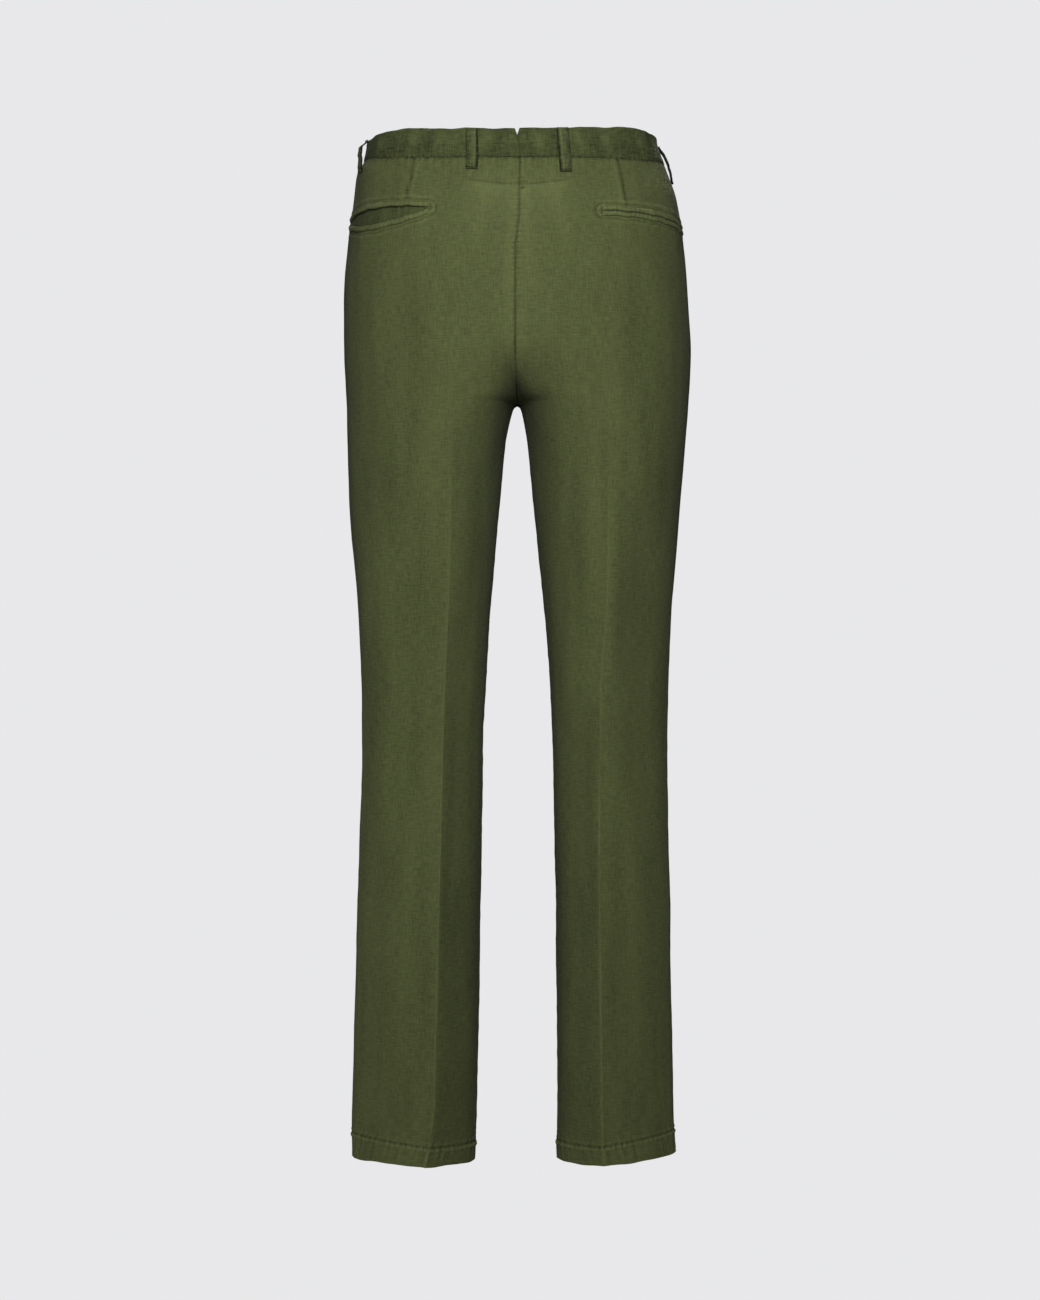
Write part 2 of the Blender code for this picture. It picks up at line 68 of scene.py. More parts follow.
# Distances from the centre plane of the outer edge and of the inside leg
OUTLINE = (
    ("z", "outer_left", "outer_right", "inner_left", "inner_right"),
    (15, 157, 145.5, 8.4, 7.6),
    (-15, 160.5, 154, 8.4, 7.6),
    (-27, 167.5, 158.7, 8.4, 7.6),
    (-50, 170.5, 166.5, 8.4, 7.6),
    (-100, 177.8, 175, 8.4, 7.6),
    (-150, 181.2, 179.1, 8.4, 7.6),
    (-200, 181.1, 181.7, 8.4, 7.6),
    (-257, 179.3, 179.2, 8.4, 7.6),
    (-300, 178.1, 176.1, 12.7, 11.4),
    (-380, 175, 169.5, 20.4, 19),
    (-480, 166, 161.5, 28.7, 28.7),
    (-600, 162.5, 157.5, 35.7, 36.6),
    (-750, 165.9, 159.3, 38.4, 39.4),
    (-900, 170.7, 161.7, 40.8, 41.4),
    (-1000, 172.5, 163.5, 42.8, 42.3),
    (-1046, 172.6, 165.7, 44.4, 41.5),
)
# How far the back and front stand out, the places of the side and of the inside leg between
# them, and how square the section is
PROFILE = (
    ("z", "back", "front", "side_y", "inner_y", "square"),
    (15, 105, -103, 0, -8, 2.9),
    (-15, 108, -106, 0, -8, 2.7),
    (-50, 118, -110, 0, -8, 2.5),
    (-100, 130, -113, -1, -8, 2.35),
    (-150, 137, -113, -2, -8, 2.3),
    (-200, 137, -113, -2, -8, 2.3),
    (-257, 124, -113, -1, -8, 2.3),
    (-300, 115, -112, 0, -7, 2.3),
    (-380, 104, -105, 1, -4, 2.3),
    (-480, 93, -93, 2, 0, 2.3),
    (-600, 82, -79, 3, 2, 2.3),
    (-750, 83, -67, 5, 4, 2.3),
    (-900, 78, -62, 6, 5, 2.3),
    (-1000, 73, -61, 6, 6, 2.3),
    (-1046, 71, -61, 6, 6, 2.3),
)
# Where the creases lie between the inside leg and the side, and how sharply they are pressed
CREASES = (
    ("z", "back_left", "back_right", "front_left", "front_right", "press"),
    (15, 0.36, 0.40, 0.52, 0.50, 0),
    (-200, 0.35, 0.45, 0.54, 0.52, 0),
    (-300, 0.33, 0.50, 0.57, 0.54, 0.25),
    (-450, 0.30, 0.48, 0.61, 0.57, 0.5),
    (-560, 0.31, 0.41, 0.62, 0.60, 0.65),
    (-800, 0.32, 0.37, 0.62, 0.61, 0.75),
    (-980, 0.33, 0.37, 0.61, 0.61, 0.75),
    (-1046, 0.39, 0.385, 0.60, 0.60, 0.7),
)
# How far the waistband's top and its seam rise above their nominal heights, round the garment
WAIST_LIFT = (
    ("quarter", "top_left", "top_right", "seam_left", "seam_right"),
    (0, 0, 0, 0, 0),
    (1, 0.5, 1.5, 0.5, 0.5),
    (1.45, 2.5, 4.5, 3.5, 1.5),
    (1.85, -2, 2.5, 9, 5.5),
    (2.2, -2, 0, 8, 5),
    (3, -5, -5, -1, -1),
    (4, -8, -8, -8, -8),
)
# The same for the hem
HEM_LIFT = (
    ("quarter", "left", "right"),
    (0, -1.5, 0),
    (1, -0.5, 0.5),
    (1.6, 1, 4),
    (2, 1.5, 6),
    (3, 0, 1),
    (4, -1.5, 0),
)
# Where the side seam runs
SIDE_SEAM = (
    ("z", "quarter"),
    (15, 2.10),
    (-200, 2.08),
    (-600, 2),
    (-1046, 1.93),
)
# How far the centre back seam wanders to the wearer's left of the centre plane
CENTRE_BACK = (
    ("z", "wander"),
    (15, 0),
    (-15, -2.4),
    (-70, -2),
    (-90, -0.4),
    (-112, 2.1),
    (-190, 2.1),
    (-240, 1),
    (-257, 0),
)
# The hem's line of stitches, above the hem edge
HEM_STITCH = (
    ("quarter", "height"),
    (0, 19),
    (1, 19.5),
    (2, 26),
    (3, 21),
    (4, 19),
)
# The darts of the back panels: along the panel from the centre back seam, at two heights
DARTS = (
    ("name", "along_top", "along_bottom", "end"),
    ("left", 105, 117, -60),
    ("right", 104, 115.5, -66),
)
# The back pocket mouths: along the panel from the centre back seam, the height of the mouth at
# its inner end, middle and outer end, and how far the lower lip hangs open
POCKETS = (
    ("name", "side", "inner_end", "outer_end", "height_in", "height_mid", "height_out", "gape"),
    ("left", 1, 89, 221, -67, -66, -76, 15.5),
    ("right", -1, 87, 219, -70, -72.5, -82, 0),
)
# How far the seams that hold the jets lie from the mouth, the round of stitches at its end, and
# how far the mouth wanders
JET_SEAM, END_RADIUS, MOUTH_WAVE = 8.0, 7.4, 0.6
# Soft folds listed for each panel: the heights where one starts and ends, its distance
# from the centre plane there, its half width, and its height (a trough is less than 0)
FOLDS = {
    "back_left": (
        (-150, -420, 96, 70, 16, 1.4),
        (-215, -330, 26, 58, 9, -0.6),
        (-235, -345, 14, 40, 7, 0.5),
        (-300, -700, 118, 104, 18, -1.8),
        (-420, -900, 142, 134, 9, 1),
        (-330, -1030, 60, 66, 13, -2.6),
        (-700, -1010, 112, 118, 12, 1.3),
    ),
    "back_right": (
        (-170, -620, 106, 97, 8, 2),
        (-200, -640, 86, 78, 9, -1.8),
        (-205, -262, 24, 44, 4, -1),
        (-215, -330, 34, 24, 7, 0.6),
        (-330, -760, 134, 126, 14, -1.3),
        (-480, -1030, 66, 62, 13, -2.8),
        (-560, -1000, 122, 126, 12, 1.2),
    ),
    "front_left": (
        (-150, -420, 60, 84, 14, 1.3),
        (-200, -320, 22, 66, 7, -1.5),
        (-330, -760, 140, 132, 14, -1.4),
        (-640, -1000, 84, 74, 11, 1.1),
    ),
    "front_right": (
        (-160, -440, 62, 82, 14, 1.3),
        (-205, -320, 20, 60, 7, -1.5),
        (-300, -720, 136, 128, 14, -1.4),
        (-620, -1010, 80, 72, 11, 1.1),
    ),
}

# The gentle unevenness of hanging cloth: the size of its waves, and their height
HANG_WAVES = ((75.0, 1.1), (24.0, 0.3))
# How wide the turned-back seam allowances are that press through the cloth
SIDE_ALLOWANCE, INSEAM_ALLOWANCE = 15.0, 11.0
# Where the centre back seam puckers most, where the left back panel is gathered into the band,
# the small tack beside the centre back seam, and how far from that seam the cloth moves with it
PUCKER_HEIGHT, GATHER_PLACE, TACK_HEIGHT, CENTRE_REACH = -95.0, 98.0, -48.0, 22.0
# The edge of the seat's inner stay, which presses through below the band
STAY_HEIGHT, STAY_RISE, STAY_WIDTH = -45.0, 7.0, 55.0


@lru_cache(maxsize=None)
def curve_of(table, name):
    """Places, values and slopes of a table's column, for a smooth curve through its rows."""
    index = table[0].index(name)
    rows = sorted(table[1:])
    places = np.array([row[0] for row in rows], float)
    values = np.array([row[index] for row in rows], float)
    rises = np.diff(values) / np.diff(places)
    slopes = np.zeros(len(rows))
    same_way = rises[:-1] * rises[1:] > 0.0
    total = np.where(same_way, rises[:-1] + rises[1:], 1.0)
    slopes[1:-1] = np.where(same_way, 2.0 * rises[:-1] * rises[1:] / total, 0.0)
    slopes[0] = rises[0]
    return places, values, slopes


def read(table, name, at):
    """The value of a named column at places between its rows."""
    places, values, slopes = curve_of(table, name)
    at = np.clip(at, places[0], places[-1])
    k = np.clip(np.searchsorted(places, at, side="right") - 1, 0, len(places) - 2)
    step = places[k + 1] - places[k]
    t = (at - places[k]) / step
    return ((2 * t**3 - 3 * t**2 + 1) * values[k] + (t**3 - 2 * t**2 + t) * slopes[k] * step
            + (3 * t**2 - 2 * t**3) * values[k + 1] + (t**3 - t**2) * slopes[k + 1] * step)


def smooth(t):
    t = np.clip(t, 0.0, 1.0)
    return t * t * (3.0 - 2.0 * t)


def between_ends(t, rise):
    """1 between the ends of 0 and 1, and 0 at both, with a rise over that share of the way."""
    return smooth(t / rise) * smooth((1.0 - t) / rise)


def hump(distance, width):
    return np.exp(-(distance / width) ** 2)


def uneven(turn, start):
    """A wave between about -1 and 1 that doesn't repeat soon, for puckers."""
    return (0.5 * np.sin(turn + start) + 0.3 * np.sin(1.618 * turn + 2.3 * start)
            + 0.2 * np.sin(2.71 * turn + 4.1 * start))


def ripple(along, spacing, start):
    """The uneven wave, with its crests about one spacing apart."""
    return uneven(along * 2.0 * math.pi / spacing, start)


def matched(first, second):
    """Two values or arrays as arrays of one shape."""
    return np.broadcast_arrays(np.asarray(first, float), np.asarray(second, float))


def hand(side):
    return "left" if side > 0 else "right"


def fork(z, top):
    """How far the centre seam has turned under at a height: 0 above the fork, 1 at the crotch."""
    u = np.clip((top - z) / (top - CROTCH), 0.0, 1.0)
    return 1.0 - np.sqrt(1.0 - u * u)


def edge_lift(side, quarter, z):
    """How far the cloth lies above its nominal height, near the waist and near the hem."""
    at_hem = read(HEM_LIFT, hand(side), quarter) * smooth(1.0 - (z - HEM) / HEM_FADE)
    top = read(WAIST_LIFT, "top_" + hand(side), quarter)
    seam = read(WAIST_LIFT, "seam_" + hand(side), quarter)
    down_band = np.clip((BAND_TOP - z) / (BAND_TOP - BAND_SEAM), 0.0, 1.0)
    at_waist = (top + (seam - top) * down_band) * (1.0 - smooth((BAND_SEAM - z) / LIFT_FADE))
    return np.where(z < BAND_SEAM - LIFT_FADE, at_hem, at_waist)


def skin(side, quarter, z):
    """Points of the plain skin of one half; past either end it goes on round the garment.

    A quarter is 0 at the centre back or inseam, 1 at the back crease, 2 at the side, 3 at the
    front crease and 4 at the centre front.
    """
    quarter, z = matched(quarter, z)
    past = (quarter < 0.0) | (quarter > 4.0)
    if past.any():
        near = skin(side, np.clip(quarter, 0.0, 4.0), z)
        over = skin(-side, np.clip(np.where(quarter < 0.0, -quarter, 8.0 - quarter), 0.0, 4.0), z)
        round_leg = skin(side, np.mod(quarter, 4.0), z)
        beyond = np.where((z >= CROTCH)[..., None], over, round_leg)
        return np.where(past[..., None], beyond, near)
    name = hand(side)
    outer = read(OUTLINE, "outer_" + name, z)
    spread = read(OUTLINE, "inner_" + name, z)
    inner = spread * np.sqrt(1.0 - np.exp(-np.maximum(CROTCH - z, 0.0) / ARCH))
    on_back = quarter <= 2.0
    share = np.where(on_back, read(CREASES, "back_" + name, z), read(CREASES, "front_" + name, z))
    crease = spread + (outer - spread) * share
    depth = np.where(on_back, read(PROFILE, "back", z), read(PROFILE, "front", z))
    side_y = read(PROFILE, "side_y", z)
    square = read(PROFILE, "square", z)
    near_side = (quarter > 1.0) & (quarter < 3.0)
    edge = np.where(near_side, outer, inner)
    edge_y = np.where(near_side, side_y, read(PROFILE, "inner_y", z))
    turn = math.radians(90.0) * np.abs(quarter - np.where(on_back, 1.0, 3.0))
    across = np.maximum(np.sin(turn), 0.0) ** (1.0 + read(CREASES, "press", z))
    x = crease + (edge - crease) * across
    leg_y = edge_y + (depth - edge_y) * np.maximum(np.cos(turn), 0.0)
    oval = (1.0 - np.minimum(np.abs(x) / outer, 1.0) ** square) ** (1.0 / square)
    hip_y = side_y + (depth - side_y) * oval
    fork_top = np.where(on_back, BACK_FORK_TOP, FRONT_FORK_TOP)
    as_leg = smooth((fork_top - z) / (fork_top - LEG_START))
    inner_share = np.where(near_side, 0.0, np.maximum(np.sin(turn), 0.0) ** FORK_REACH)
    as_leg = as_leg + (fork(z, fork_top) - as_leg) * inner_share
    y = hip_y + (leg_y - hip_y) * as_leg
    return np.stack([side * np.maximum(x, 0.0), y, z + edge_lift(side, quarter, z)], -1)


def outward(side, quarter, z):
    """The direction that points out of the cloth."""
    quarter, z = matched(quarter, z)
    step, rise, first = 0.03, 3.0, 0.12
    joined = (z >= CROTCH) & (quarter >= 0.0) & (quarter <= 4.0)
    ahead = np.where(joined, np.clip(quarter + step, first, 4.0), quarter + step)
    behind = np.where(joined, np.clip(quarter - step, 0.0, 4.0 - first), quarter - step)
    along = skin(side, ahead, z) - skin(side, behind, z)
    down = skin(side, quarter, z - rise) - skin(side, quarter, z + rise)
    out = side * np.cross(along, down)
    at_centre = joined & ((quarter == 0.0) | (quarter == 4.0))
    out[..., 0] = np.where(at_centre, 0.0, out[..., 0])
    return out / np.linalg.norm(out, axis=-1, keepdims=True)


# The rings of the skin along which lengths are measured, closest together round the crotch
RING_STEPS = 400
RING_HEIGHTS = np.concatenate([np.arange(HEM - 3.0, CROTCH - 30.0, 4.0),
                               np.arange(CROTCH - 30.0, CROTCH + 4.0, 0.5),
                               np.arange(CROTCH + 4.0, BAND_TOP + 3.0, 2.0)])


@lru_cache(maxsize=None)
def rings(side):
    """For rings of the skin at many heights: the length from the centre back seam at even
    quarters, and the quarters at even shares of the whole length."""
    quarters = np.linspace(0.0, 4.0, RING_STEPS + 1)
    points = skin(side, quarters[None, :], RING_HEIGHTS[:, None])
    steps = np.linalg.norm(np.diff(points, axis=1), axis=2)
    lengths = np.concatenate([np.zeros((len(steps), 1)), np.cumsum(steps, axis=1)], axis=1)
    shares = np.linspace(0.0, 1.0, RING_STEPS + 1)
    return lengths, np.array([np.interp(shares, row / row[-1], quarters) for row in lengths])


def between(table, z, share):
    """A value of the rings at a height, a share of the way along their rows."""
    row = np.interp(z, RING_HEIGHTS, np.arange(len(RING_HEIGHTS)))
    place = np.clip(share, 0.0, 1.0) * RING_STEPS
    i = np.minimum(row.astype(int), len(RING_HEIGHTS) - 2)
    j = np.minimum(place.astype(int), RING_STEPS - 1)
    u, v = row - i, place - j
    return ((1.0 - u) * ((1.0 - v) * table[i, j] + v * table[i, j + 1])
            + u * ((1.0 - v) * table[i + 1, j] + v * table[i + 1, j + 1]))


def length_at(side, quarter, z):
    """Length along the skin from the centre back seam to a quarter."""
    quarter, z = matched(quarter, z)
    return between(rings(side)[0], z, quarter / 4.0)


def quarter_at(side, along, z):
    """The quarter that lies a length along the skin from the centre back seam."""
    along, z = matched(along, z)
    whole, other = length_at(side, 4.0, z), length_at(-side, 4.0, z)
    near = between(rings(side)[1], z, along / whole)
    past = 8.0 - between(rings(-side)[1], z, (other + whole - along) / other)
    return np.where(along > whole, past, near)


def mouth_of(row, along):
    """A back pocket's mouth: its height, how far along it a point is, and how far it gapes."""
    side, inner_end, outer_end, height_in, height_mid, height_out, gape = row[1:]
    t = (along - inner_end) / (outer_end - inner_end)
    bow = height_mid - (height_in + height_out) / 2.0
    height = height_in + (height_out - height_in) * t + 4.0 * bow * t * (1.0 - t)
    height = height + MOUTH_WAVE * uneven(along / 4.5, 2.0 * side) * smooth(t / 0.1)
    return height, t, gape * np.maximum(np.sin(math.pi * np.clip(t, 0.0, 1.0)), 0.0) ** 0.8


def pocket_relief(row, along, z):
    """The back pocket in the panel: the bag's thickness, the mouth's hollow, the seams that hold
    the jets, and the raised D of stitches at the inner end."""
    side, inner_end, outer_end = row[1:4]
    mouth, t, gape = mouth_of(row, along)
    ends = smooth((along - inner_end + 9.0) / 5.0) * smooth((outer_end + 9.0 - along) / 5.0)
    patch = smooth((mouth + 13.0 - z) / 3.0) * smooth((z - mouth + gape + 12.0) / 3.0) * ends
    hollow = smooth((gape / 2.0 + 1.6 - np.abs(z - mouth + gape / 2.0)) / 1.6)
    hollow *= between_ends(t, 0.05)
    held = hump(z - mouth - JET_SEAM, 1.3) + hump(mouth - gape - JET_SEAM - z, 1.3)
    held = held * (1.0 + 0.6 * ripple(along, 7.0, side))
    from_end = np.hypot(along - inner_end - 1.0, z - mouth)
    ring = 1.7 * hump(from_end - END_RADIUS + 2.4, 1.5) - 1.6 * hump(from_end - END_RADIUS, 1.4)
    ring *= smooth((inner_end + 1.5 - along) / 2.0)
    ridge = hump(z - mouth - JET_SEAM - 2.4, 1.2) + hump(mouth - gape - JET_SEAM - 2.4 - z, 1.2)
    ridge = ridge * (0.5 + 0.8 * ripple(along, 5.0, 2.0 + side))
    sewn = 0.5 * patch + (0.8 * ridge - 0.9 * held) * ends * smooth(t / 0.02) + ring
    return sewn - (1.3 + 2.6 * smooth(gape / 8.0)) * hollow


def seam_relief(distance, z, allowance, start, pucker):
    """A pressed-open seam: a groove, the turned-back edge showing through, and its puckers."""
    edge = allowance + 1.3 * uneven(z / 21.0, start)
    imprint = 0.3 * (1.0 - smooth((distance - edge) / 2.5))
    ripples = pucker * ripple(z, 5.6, start) * np.exp(-distance / 3.8)
    return imprint - 1.3 * hump(distance, 1.2) + ripples * smooth(distance / 1.2)


def soft_folds(side, half, points, from_side, from_inner, z):
    """The listed folds, and the gentle unevenness of hanging cloth."""
    folds = np.zeros_like(from_side)
    for top, bottom, x_top, x_bottom, width, height in FOLDS[half + "_" + hand(side)]:
        t = np.clip((top - z) / (top - bottom), 0.0, 1.0)
        middle = x_top + (x_bottom - x_top) * t
        folds += height * hump(np.abs(points[..., 0]) - middle, width) * np.sin(math.pi * t) ** 0.7
    folds *= smooth(from_side / 12.0) * smooth(from_inner / 12.0)
    flat = points.reshape(-1, 3)
    fade = smooth((BAND_SEAM - z) / 30.0) * smooth((z - HEM) / 30.0)
    for wave, size in HANG_WAVES:
        waves = np.array([noise.noise(Vector(p) / wave) for p in flat]).reshape(from_side.shape)
        folds += size * waves * fade
    return folds


def add_back_detail(detail, side, along, z):
    """Adds what only a back panel has: its dart, the edge of the stay, its pocket and the tack."""
    _, along_top, along_bottom, dart_end = DARTS[1 if side > 0 else 2]
    t = (BAND_SEAM - z) / (BAND_SEAM - dart_end)
    dart = along - (along_top + (along_bottom - along_top) * t)
    folded = 0.6 * smooth(-dart) * smooth((dart + 9.0) / 4.0) - 1.5 * hump(dart, 1.6)
    detail += smooth((1.15 - t) / 0.3) * folded
    imprint = STAY_HEIGHT + STAY_RISE * (along / STAY_WIDTH) ** 2
    under = np.maximum(imprint - z, 0.0)
    shown = 1.0 - smooth((along - 42.0) / 22.0)
    detail += 0.9 * shown * smooth((imprint - z + 1.0) / 2.0) * np.exp(-under / 16.0)
    detail -= 0.5 * shown * hump(z - imprint - 1.5, 1.3)
    detail += pocket_relief(POCKETS[1 if side > 0 else 2], along, z)
    if side < 0:
        detail -= 2.2 * hump(along - 3.0, 2.8) * hump(z - TACK_HEIGHT - 0.2 * along, 1.2)
    return detail


def sewn_detail(side, half, quarter, along, from_side, from_inner, z):
    """The relief of all that is sewn and pressed on a panel."""
    below, above = BAND_SEAM - z, z - HEM
    crease_at = length_at(side, 1.0 if half == "back" else 3.0, z)
    detail = 0.8 * read(CREASES, "press", z) * hump(along - crease_at, 1.7)
    detail = detail + seam_relief(from_side, z, SIDE_ALLOWANCE, 1.0 + side, 0.2)
    inner_pucker = 0.2 + (0.3 + 1.1 * hump(z - PUCKER_HEIGHT, 60.0)) * (half == "back")
    detail += seam_relief(from_inner, z, INSEAM_ALLOWANCE, 2.0 + 0.4 * side, inner_pucker)
    gathers = 0.6 + 0.9 * hump(along - GATHER_PLACE, 24.0) * (half == "back" and side > 0)
    detail += gathers * ripple(along, 8.0, side) * np.exp(-below / 9.0)
    detail -= 0.7 * hump(below, 1.6)
    if half == "back":
        detail = add_back_detail(detail, side, along, z)
    hem_line = read(HEM_STITCH, "height", quarter)
    stronger = 0.5 + 0.5 * uneven(along / 13.0, 1.0 + side)
    roping = ripple(along + 0.2 * above, 10.0, 3.0 * side) * stronger
    roping = roping * hump(above - 0.7 * hem_line, 0.7 * hem_line) * smooth(from_inner / 7.0)
    pulled = smooth(0.5 + 0.8 * ripple(along, 6.5, 1.0 + side))
    scallops = 0.6 * pulled * hump(above - hem_line - 2.8, 1.8)
    scallops += 1.3 * (1.0 - pulled) * hump(above - hem_line + 2.8, 1.9)
    detail += 0.2 * smooth((hem_line - above) / 2.5) + scallops
    detail -= 1.4 * pulled * hump(above - hem_line, 1.2)
    return detail + 1.1 * roping


def centre_wander(x, z):
    """How far the cloth near the centre back moves sideways with its wandering seam."""
    return read(CENTRE_BACK, "wander", z) * np.exp(-np.abs(x) / CENTRE_REACH)


def cloth(side, half, quarter, z, with_sewing=True):
    """Points of the finished cloth, their outward directions, and the sewn detail's height."""
    quarter, z = matched(quarter, z)
    points, out = skin(side, quarter, z), outward(side, quarter, z)
    along, whole = length_at(side, quarter, z), length_at(side, 4.0, z)
    from_side = np.abs(along - length_at(side, read(SIDE_SEAM, "quarter", z), z))
    from_inner = along if half == "back" else whole - along
    detail = sewn_detail(side, half, quarter, along, from_side, from_inner, z)
    height = soft_folds(side, half, points, from_side, from_inner, z)
    if with_sewing:
        height = height + detail
    points = points + out * height[..., None]
    hem_wave = 0.8 * uneven(along / 12.0, 2.0 + side) * smooth(from_inner / 10.0)
    points[..., 2] += hem_wave * smooth(1.0 - (z - HEM) / 14.0) * smooth(from_side / 10.0)
    if half == "back":
        points[..., 0] += centre_wander(points[..., 0], z)
    return points, out, detail


def new_piece(name, data):
    piece = bpy.data.objects.new(name, data)
    bpy.context.collection.objects.link(piece)
    return piece


def laid_on(side, quarter, z, outer, inner):
    """Points at an outer and an inner height above the plain skin, and the ways out of it."""
    base, out = skin(side, quarter, z), outward(side, quarter, z)
    return base + out * outer[..., None], base + out * inner[..., None], out


def shell(name, outer, inner, grain, tone, turned_over):
    """A closed thin shell between two grids of points, with its grain as a UV map in metres
    and, as its tone attribute, the height of its sewn detail with any painted light and shade."""
    rows, columns = outer.shape[:2]
    count = rows * columns
    index = np.arange(count).reshape(rows, columns)
    a, b, c, d = index[:-1, :-1], index[:-1, 1:], index[1:, 1:], index[1:, :-1]
    quads = [np.stack([a, b, c, d], -1).reshape(-1, 4),
             np.stack([a, d, c, b], -1).reshape(-1, 4) + count]
    rim = np.concatenate([index[0, :], index[1:, -1], index[-1, -2::-1], index[-2:0:-1, 0]])
    after = np.roll(rim, -1)
    quads.append(np.stack([after, rim, rim + count, after + count], -1))
    faces = np.concatenate(quads)
    if turned_over:
        faces = faces[:, ::-1]
    points = np.concatenate([outer.reshape(-1, 3), inner.reshape(-1, 3)]) * MM
    mesh = bpy.data.meshes.new(name)
    mesh.from_pydata(points.tolist(), [], faces.tolist())
    uv = mesh.uv_layers.new(name="grain")
    of_corner = np.empty(len(mesh.loops), np.int64)
    mesh.loops.foreach_get("vertex_index", of_corner)
    both = np.concatenate([grain.reshape(-1, 2)] * 2) * MM
    uv.data.foreach_set("uv", both[of_corner].astype(np.float32).ravel())
    heights = mesh.attributes.new("tone", "FLOAT", "POINT").data
    heights.foreach_set("value", np.concatenate([tone.ravel()] * 2).astype(np.float32))
    mesh.shade_smooth()
    mesh.set_sharp_from_angle(angle=math.radians(55.0))
    return new_piece(name, mesh)


def set_inputs(tree, node, inputs):
    """Gives a node's inputs plain values, or links to a socket or to a node's first output."""
    for name, value in dict(inputs).items():
        if isinstance(value, bpy.types.Node):
            value = value.outputs[0]
        if isinstance(value, bpy.types.NodeSocket):
            tree.links.new(value, node.inputs[name])
        else:
            node.inputs[name].default_value = value
    return node


def put_node(tree, kind, inputs=(), **settings):
    """Adds a node with its settings, and then its inputs."""
    node = tree.nodes.new(kind)
    for name, value in settings.items():
        setattr(node, name, value)
    return set_inputs(tree, node, inputs)


def reckon(tree, operation, *values):
    """A Math node of some values."""
    return put_node(tree, "ShaderNodeMath", enumerate(values), operation=operation)


def group_sockets(tree, inputs, outputs):
    """Names a group's inputs and outputs, and returns the sockets that the inputs come from."""
    for way, rows in (("INPUT", inputs), ("OUTPUT", outputs)):
        for name, kind, *value in rows:
            socket = tree.interface.new_socket(name, in_out=way, socket_type="NodeSocket" + kind)
            if value:
                socket.default_value = value[0]
    return tree.nodes.new("NodeGroupInput").outputs


# How far slubs push the threads sideways, in turns of the weave's wave
SLUB_PUSH = 5.0
# How fine the slubs, the mottle and the clouds of dye are, across the warp and along it
WARP_SLUB, WEFT_SLUB = (800.0, 85.0, 1.0), (95.0, 720.0, 1.0)
MOTTLE, DYE_CLOUD = (290.0, 240.0, 1.0), (40.0, 8.0, 1.0)


def linen_weave_group():
    """Plain-weave linen: threads, slubs, mottled dye, and the sewn detail's tone: lighter ridges,
    partly rubbed wear and partly painted highlight, and darker grooves of painted shade.
    """
    tree = bpy.data.node_groups.new("linen_weave", "ShaderNodeTree")
    given = group_sockets(
        tree, (("Grain", "Vector"), ("Colour", "Color"), ("Tone", "Float", 0.0),
               ("Threads per metre", "Float", 1700.0), ("Slub", "Float", 0.55),
               ("Dye", "Float", 0.22), ("Rub", "Float", 0.22)),
        (("Colour", "Color"), ("Height", "Float"), ("Roughness", "Float")))

    def streaks(scale, detail):
        """Noise drawn out along the threads, between 0 and 1."""
        stretch = put_node(tree, "ShaderNodeMapping", {"Vector": given["Grain"], "Scale": scale})
        return put_node(tree, "ShaderNodeTexNoise",
                        {"Vector": stretch, "Scale": 1.0, "Detail": detail}, noise_dimensions="2D")

    def wave(place, slub):
        """The rise and fall of one set of threads."""
        pushed = reckon(tree, "MULTIPLY", slub, SLUB_PUSH)
        return reckon(tree, "SINE", reckon(tree, "MULTIPLY_ADD", place, pitch, pushed))

    warp_slub, weft_slub = streaks(WARP_SLUB, 2.0), streaks(WEFT_SLUB, 2.0)
    mottle, dye = streaks(MOTTLE, 3.0), streaks(DYE_CLOUD, 4.0)
    place = put_node(tree, "ShaderNodeSeparateXYZ", {0: given["Grain"]}).outputs
    pitch = reckon(tree, "MULTIPLY", given["Threads per metre"], math.pi)
    threads = reckon(tree, "MULTIPLY", wave(place[0], warp_slub), wave(place[1], weft_slub))
    slubs = reckon(tree, "SUBTRACT", reckon(tree, "ADD", warp_slub, weft_slub), 1.0)
    grain = reckon(tree, "MULTIPLY_ADD", threads, 0.10, slubs)
    shade = reckon(tree, "MULTIPLY_ADD", grain, given["Slub"], 1.0)
    cloud = reckon(tree, "SUBTRACT", reckon(tree, "MULTIPLY_ADD", dye, 2.0, mottle), 1.5)
    shade = reckon(tree, "MULTIPLY_ADD", cloud, given["Dye"], shade)
    # Painted light and shade: the tone lightens ridges, partly as rubbed wear and partly as painted
    # highlight, and darkens grooves and recesses as painted shade
    worn_and_shaded = reckon(tree, "MAXIMUM", reckon(tree, "MINIMUM", given["Tone"], 1.0), -1.5)
    shade = reckon(tree, "MULTIPLY_ADD", worn_and_shaded, given["Rub"], shade)
    colour = put_node(tree, "ShaderNodeVectorMath", {0: given["Colour"], "Scale": shade},
                      operation="SCALE")
    height = reckon(tree, "MULTIPLY_ADD", threads, 0.35, reckon(tree, "MULTIPLY", slubs, 1.4))
    put_node(tree, "NodeGroupOutput", {
        "Colour": colour, "Height": reckon(tree, "MULTIPLY_ADD", mottle, 2.0, height),
        "Roughness": reckon(tree, "MULTIPLY_ADD", slubs, -0.15, 0.86)})
    return tree


linen_weave = linen_weave_group()


def new_finish(name):
    """A new material, its node tree and its shader."""
    material = bpy.data.materials.new(name)
    material.use_nodes = True
    return material, material.node_tree, material.node_tree.nodes["Principled BSDF"]


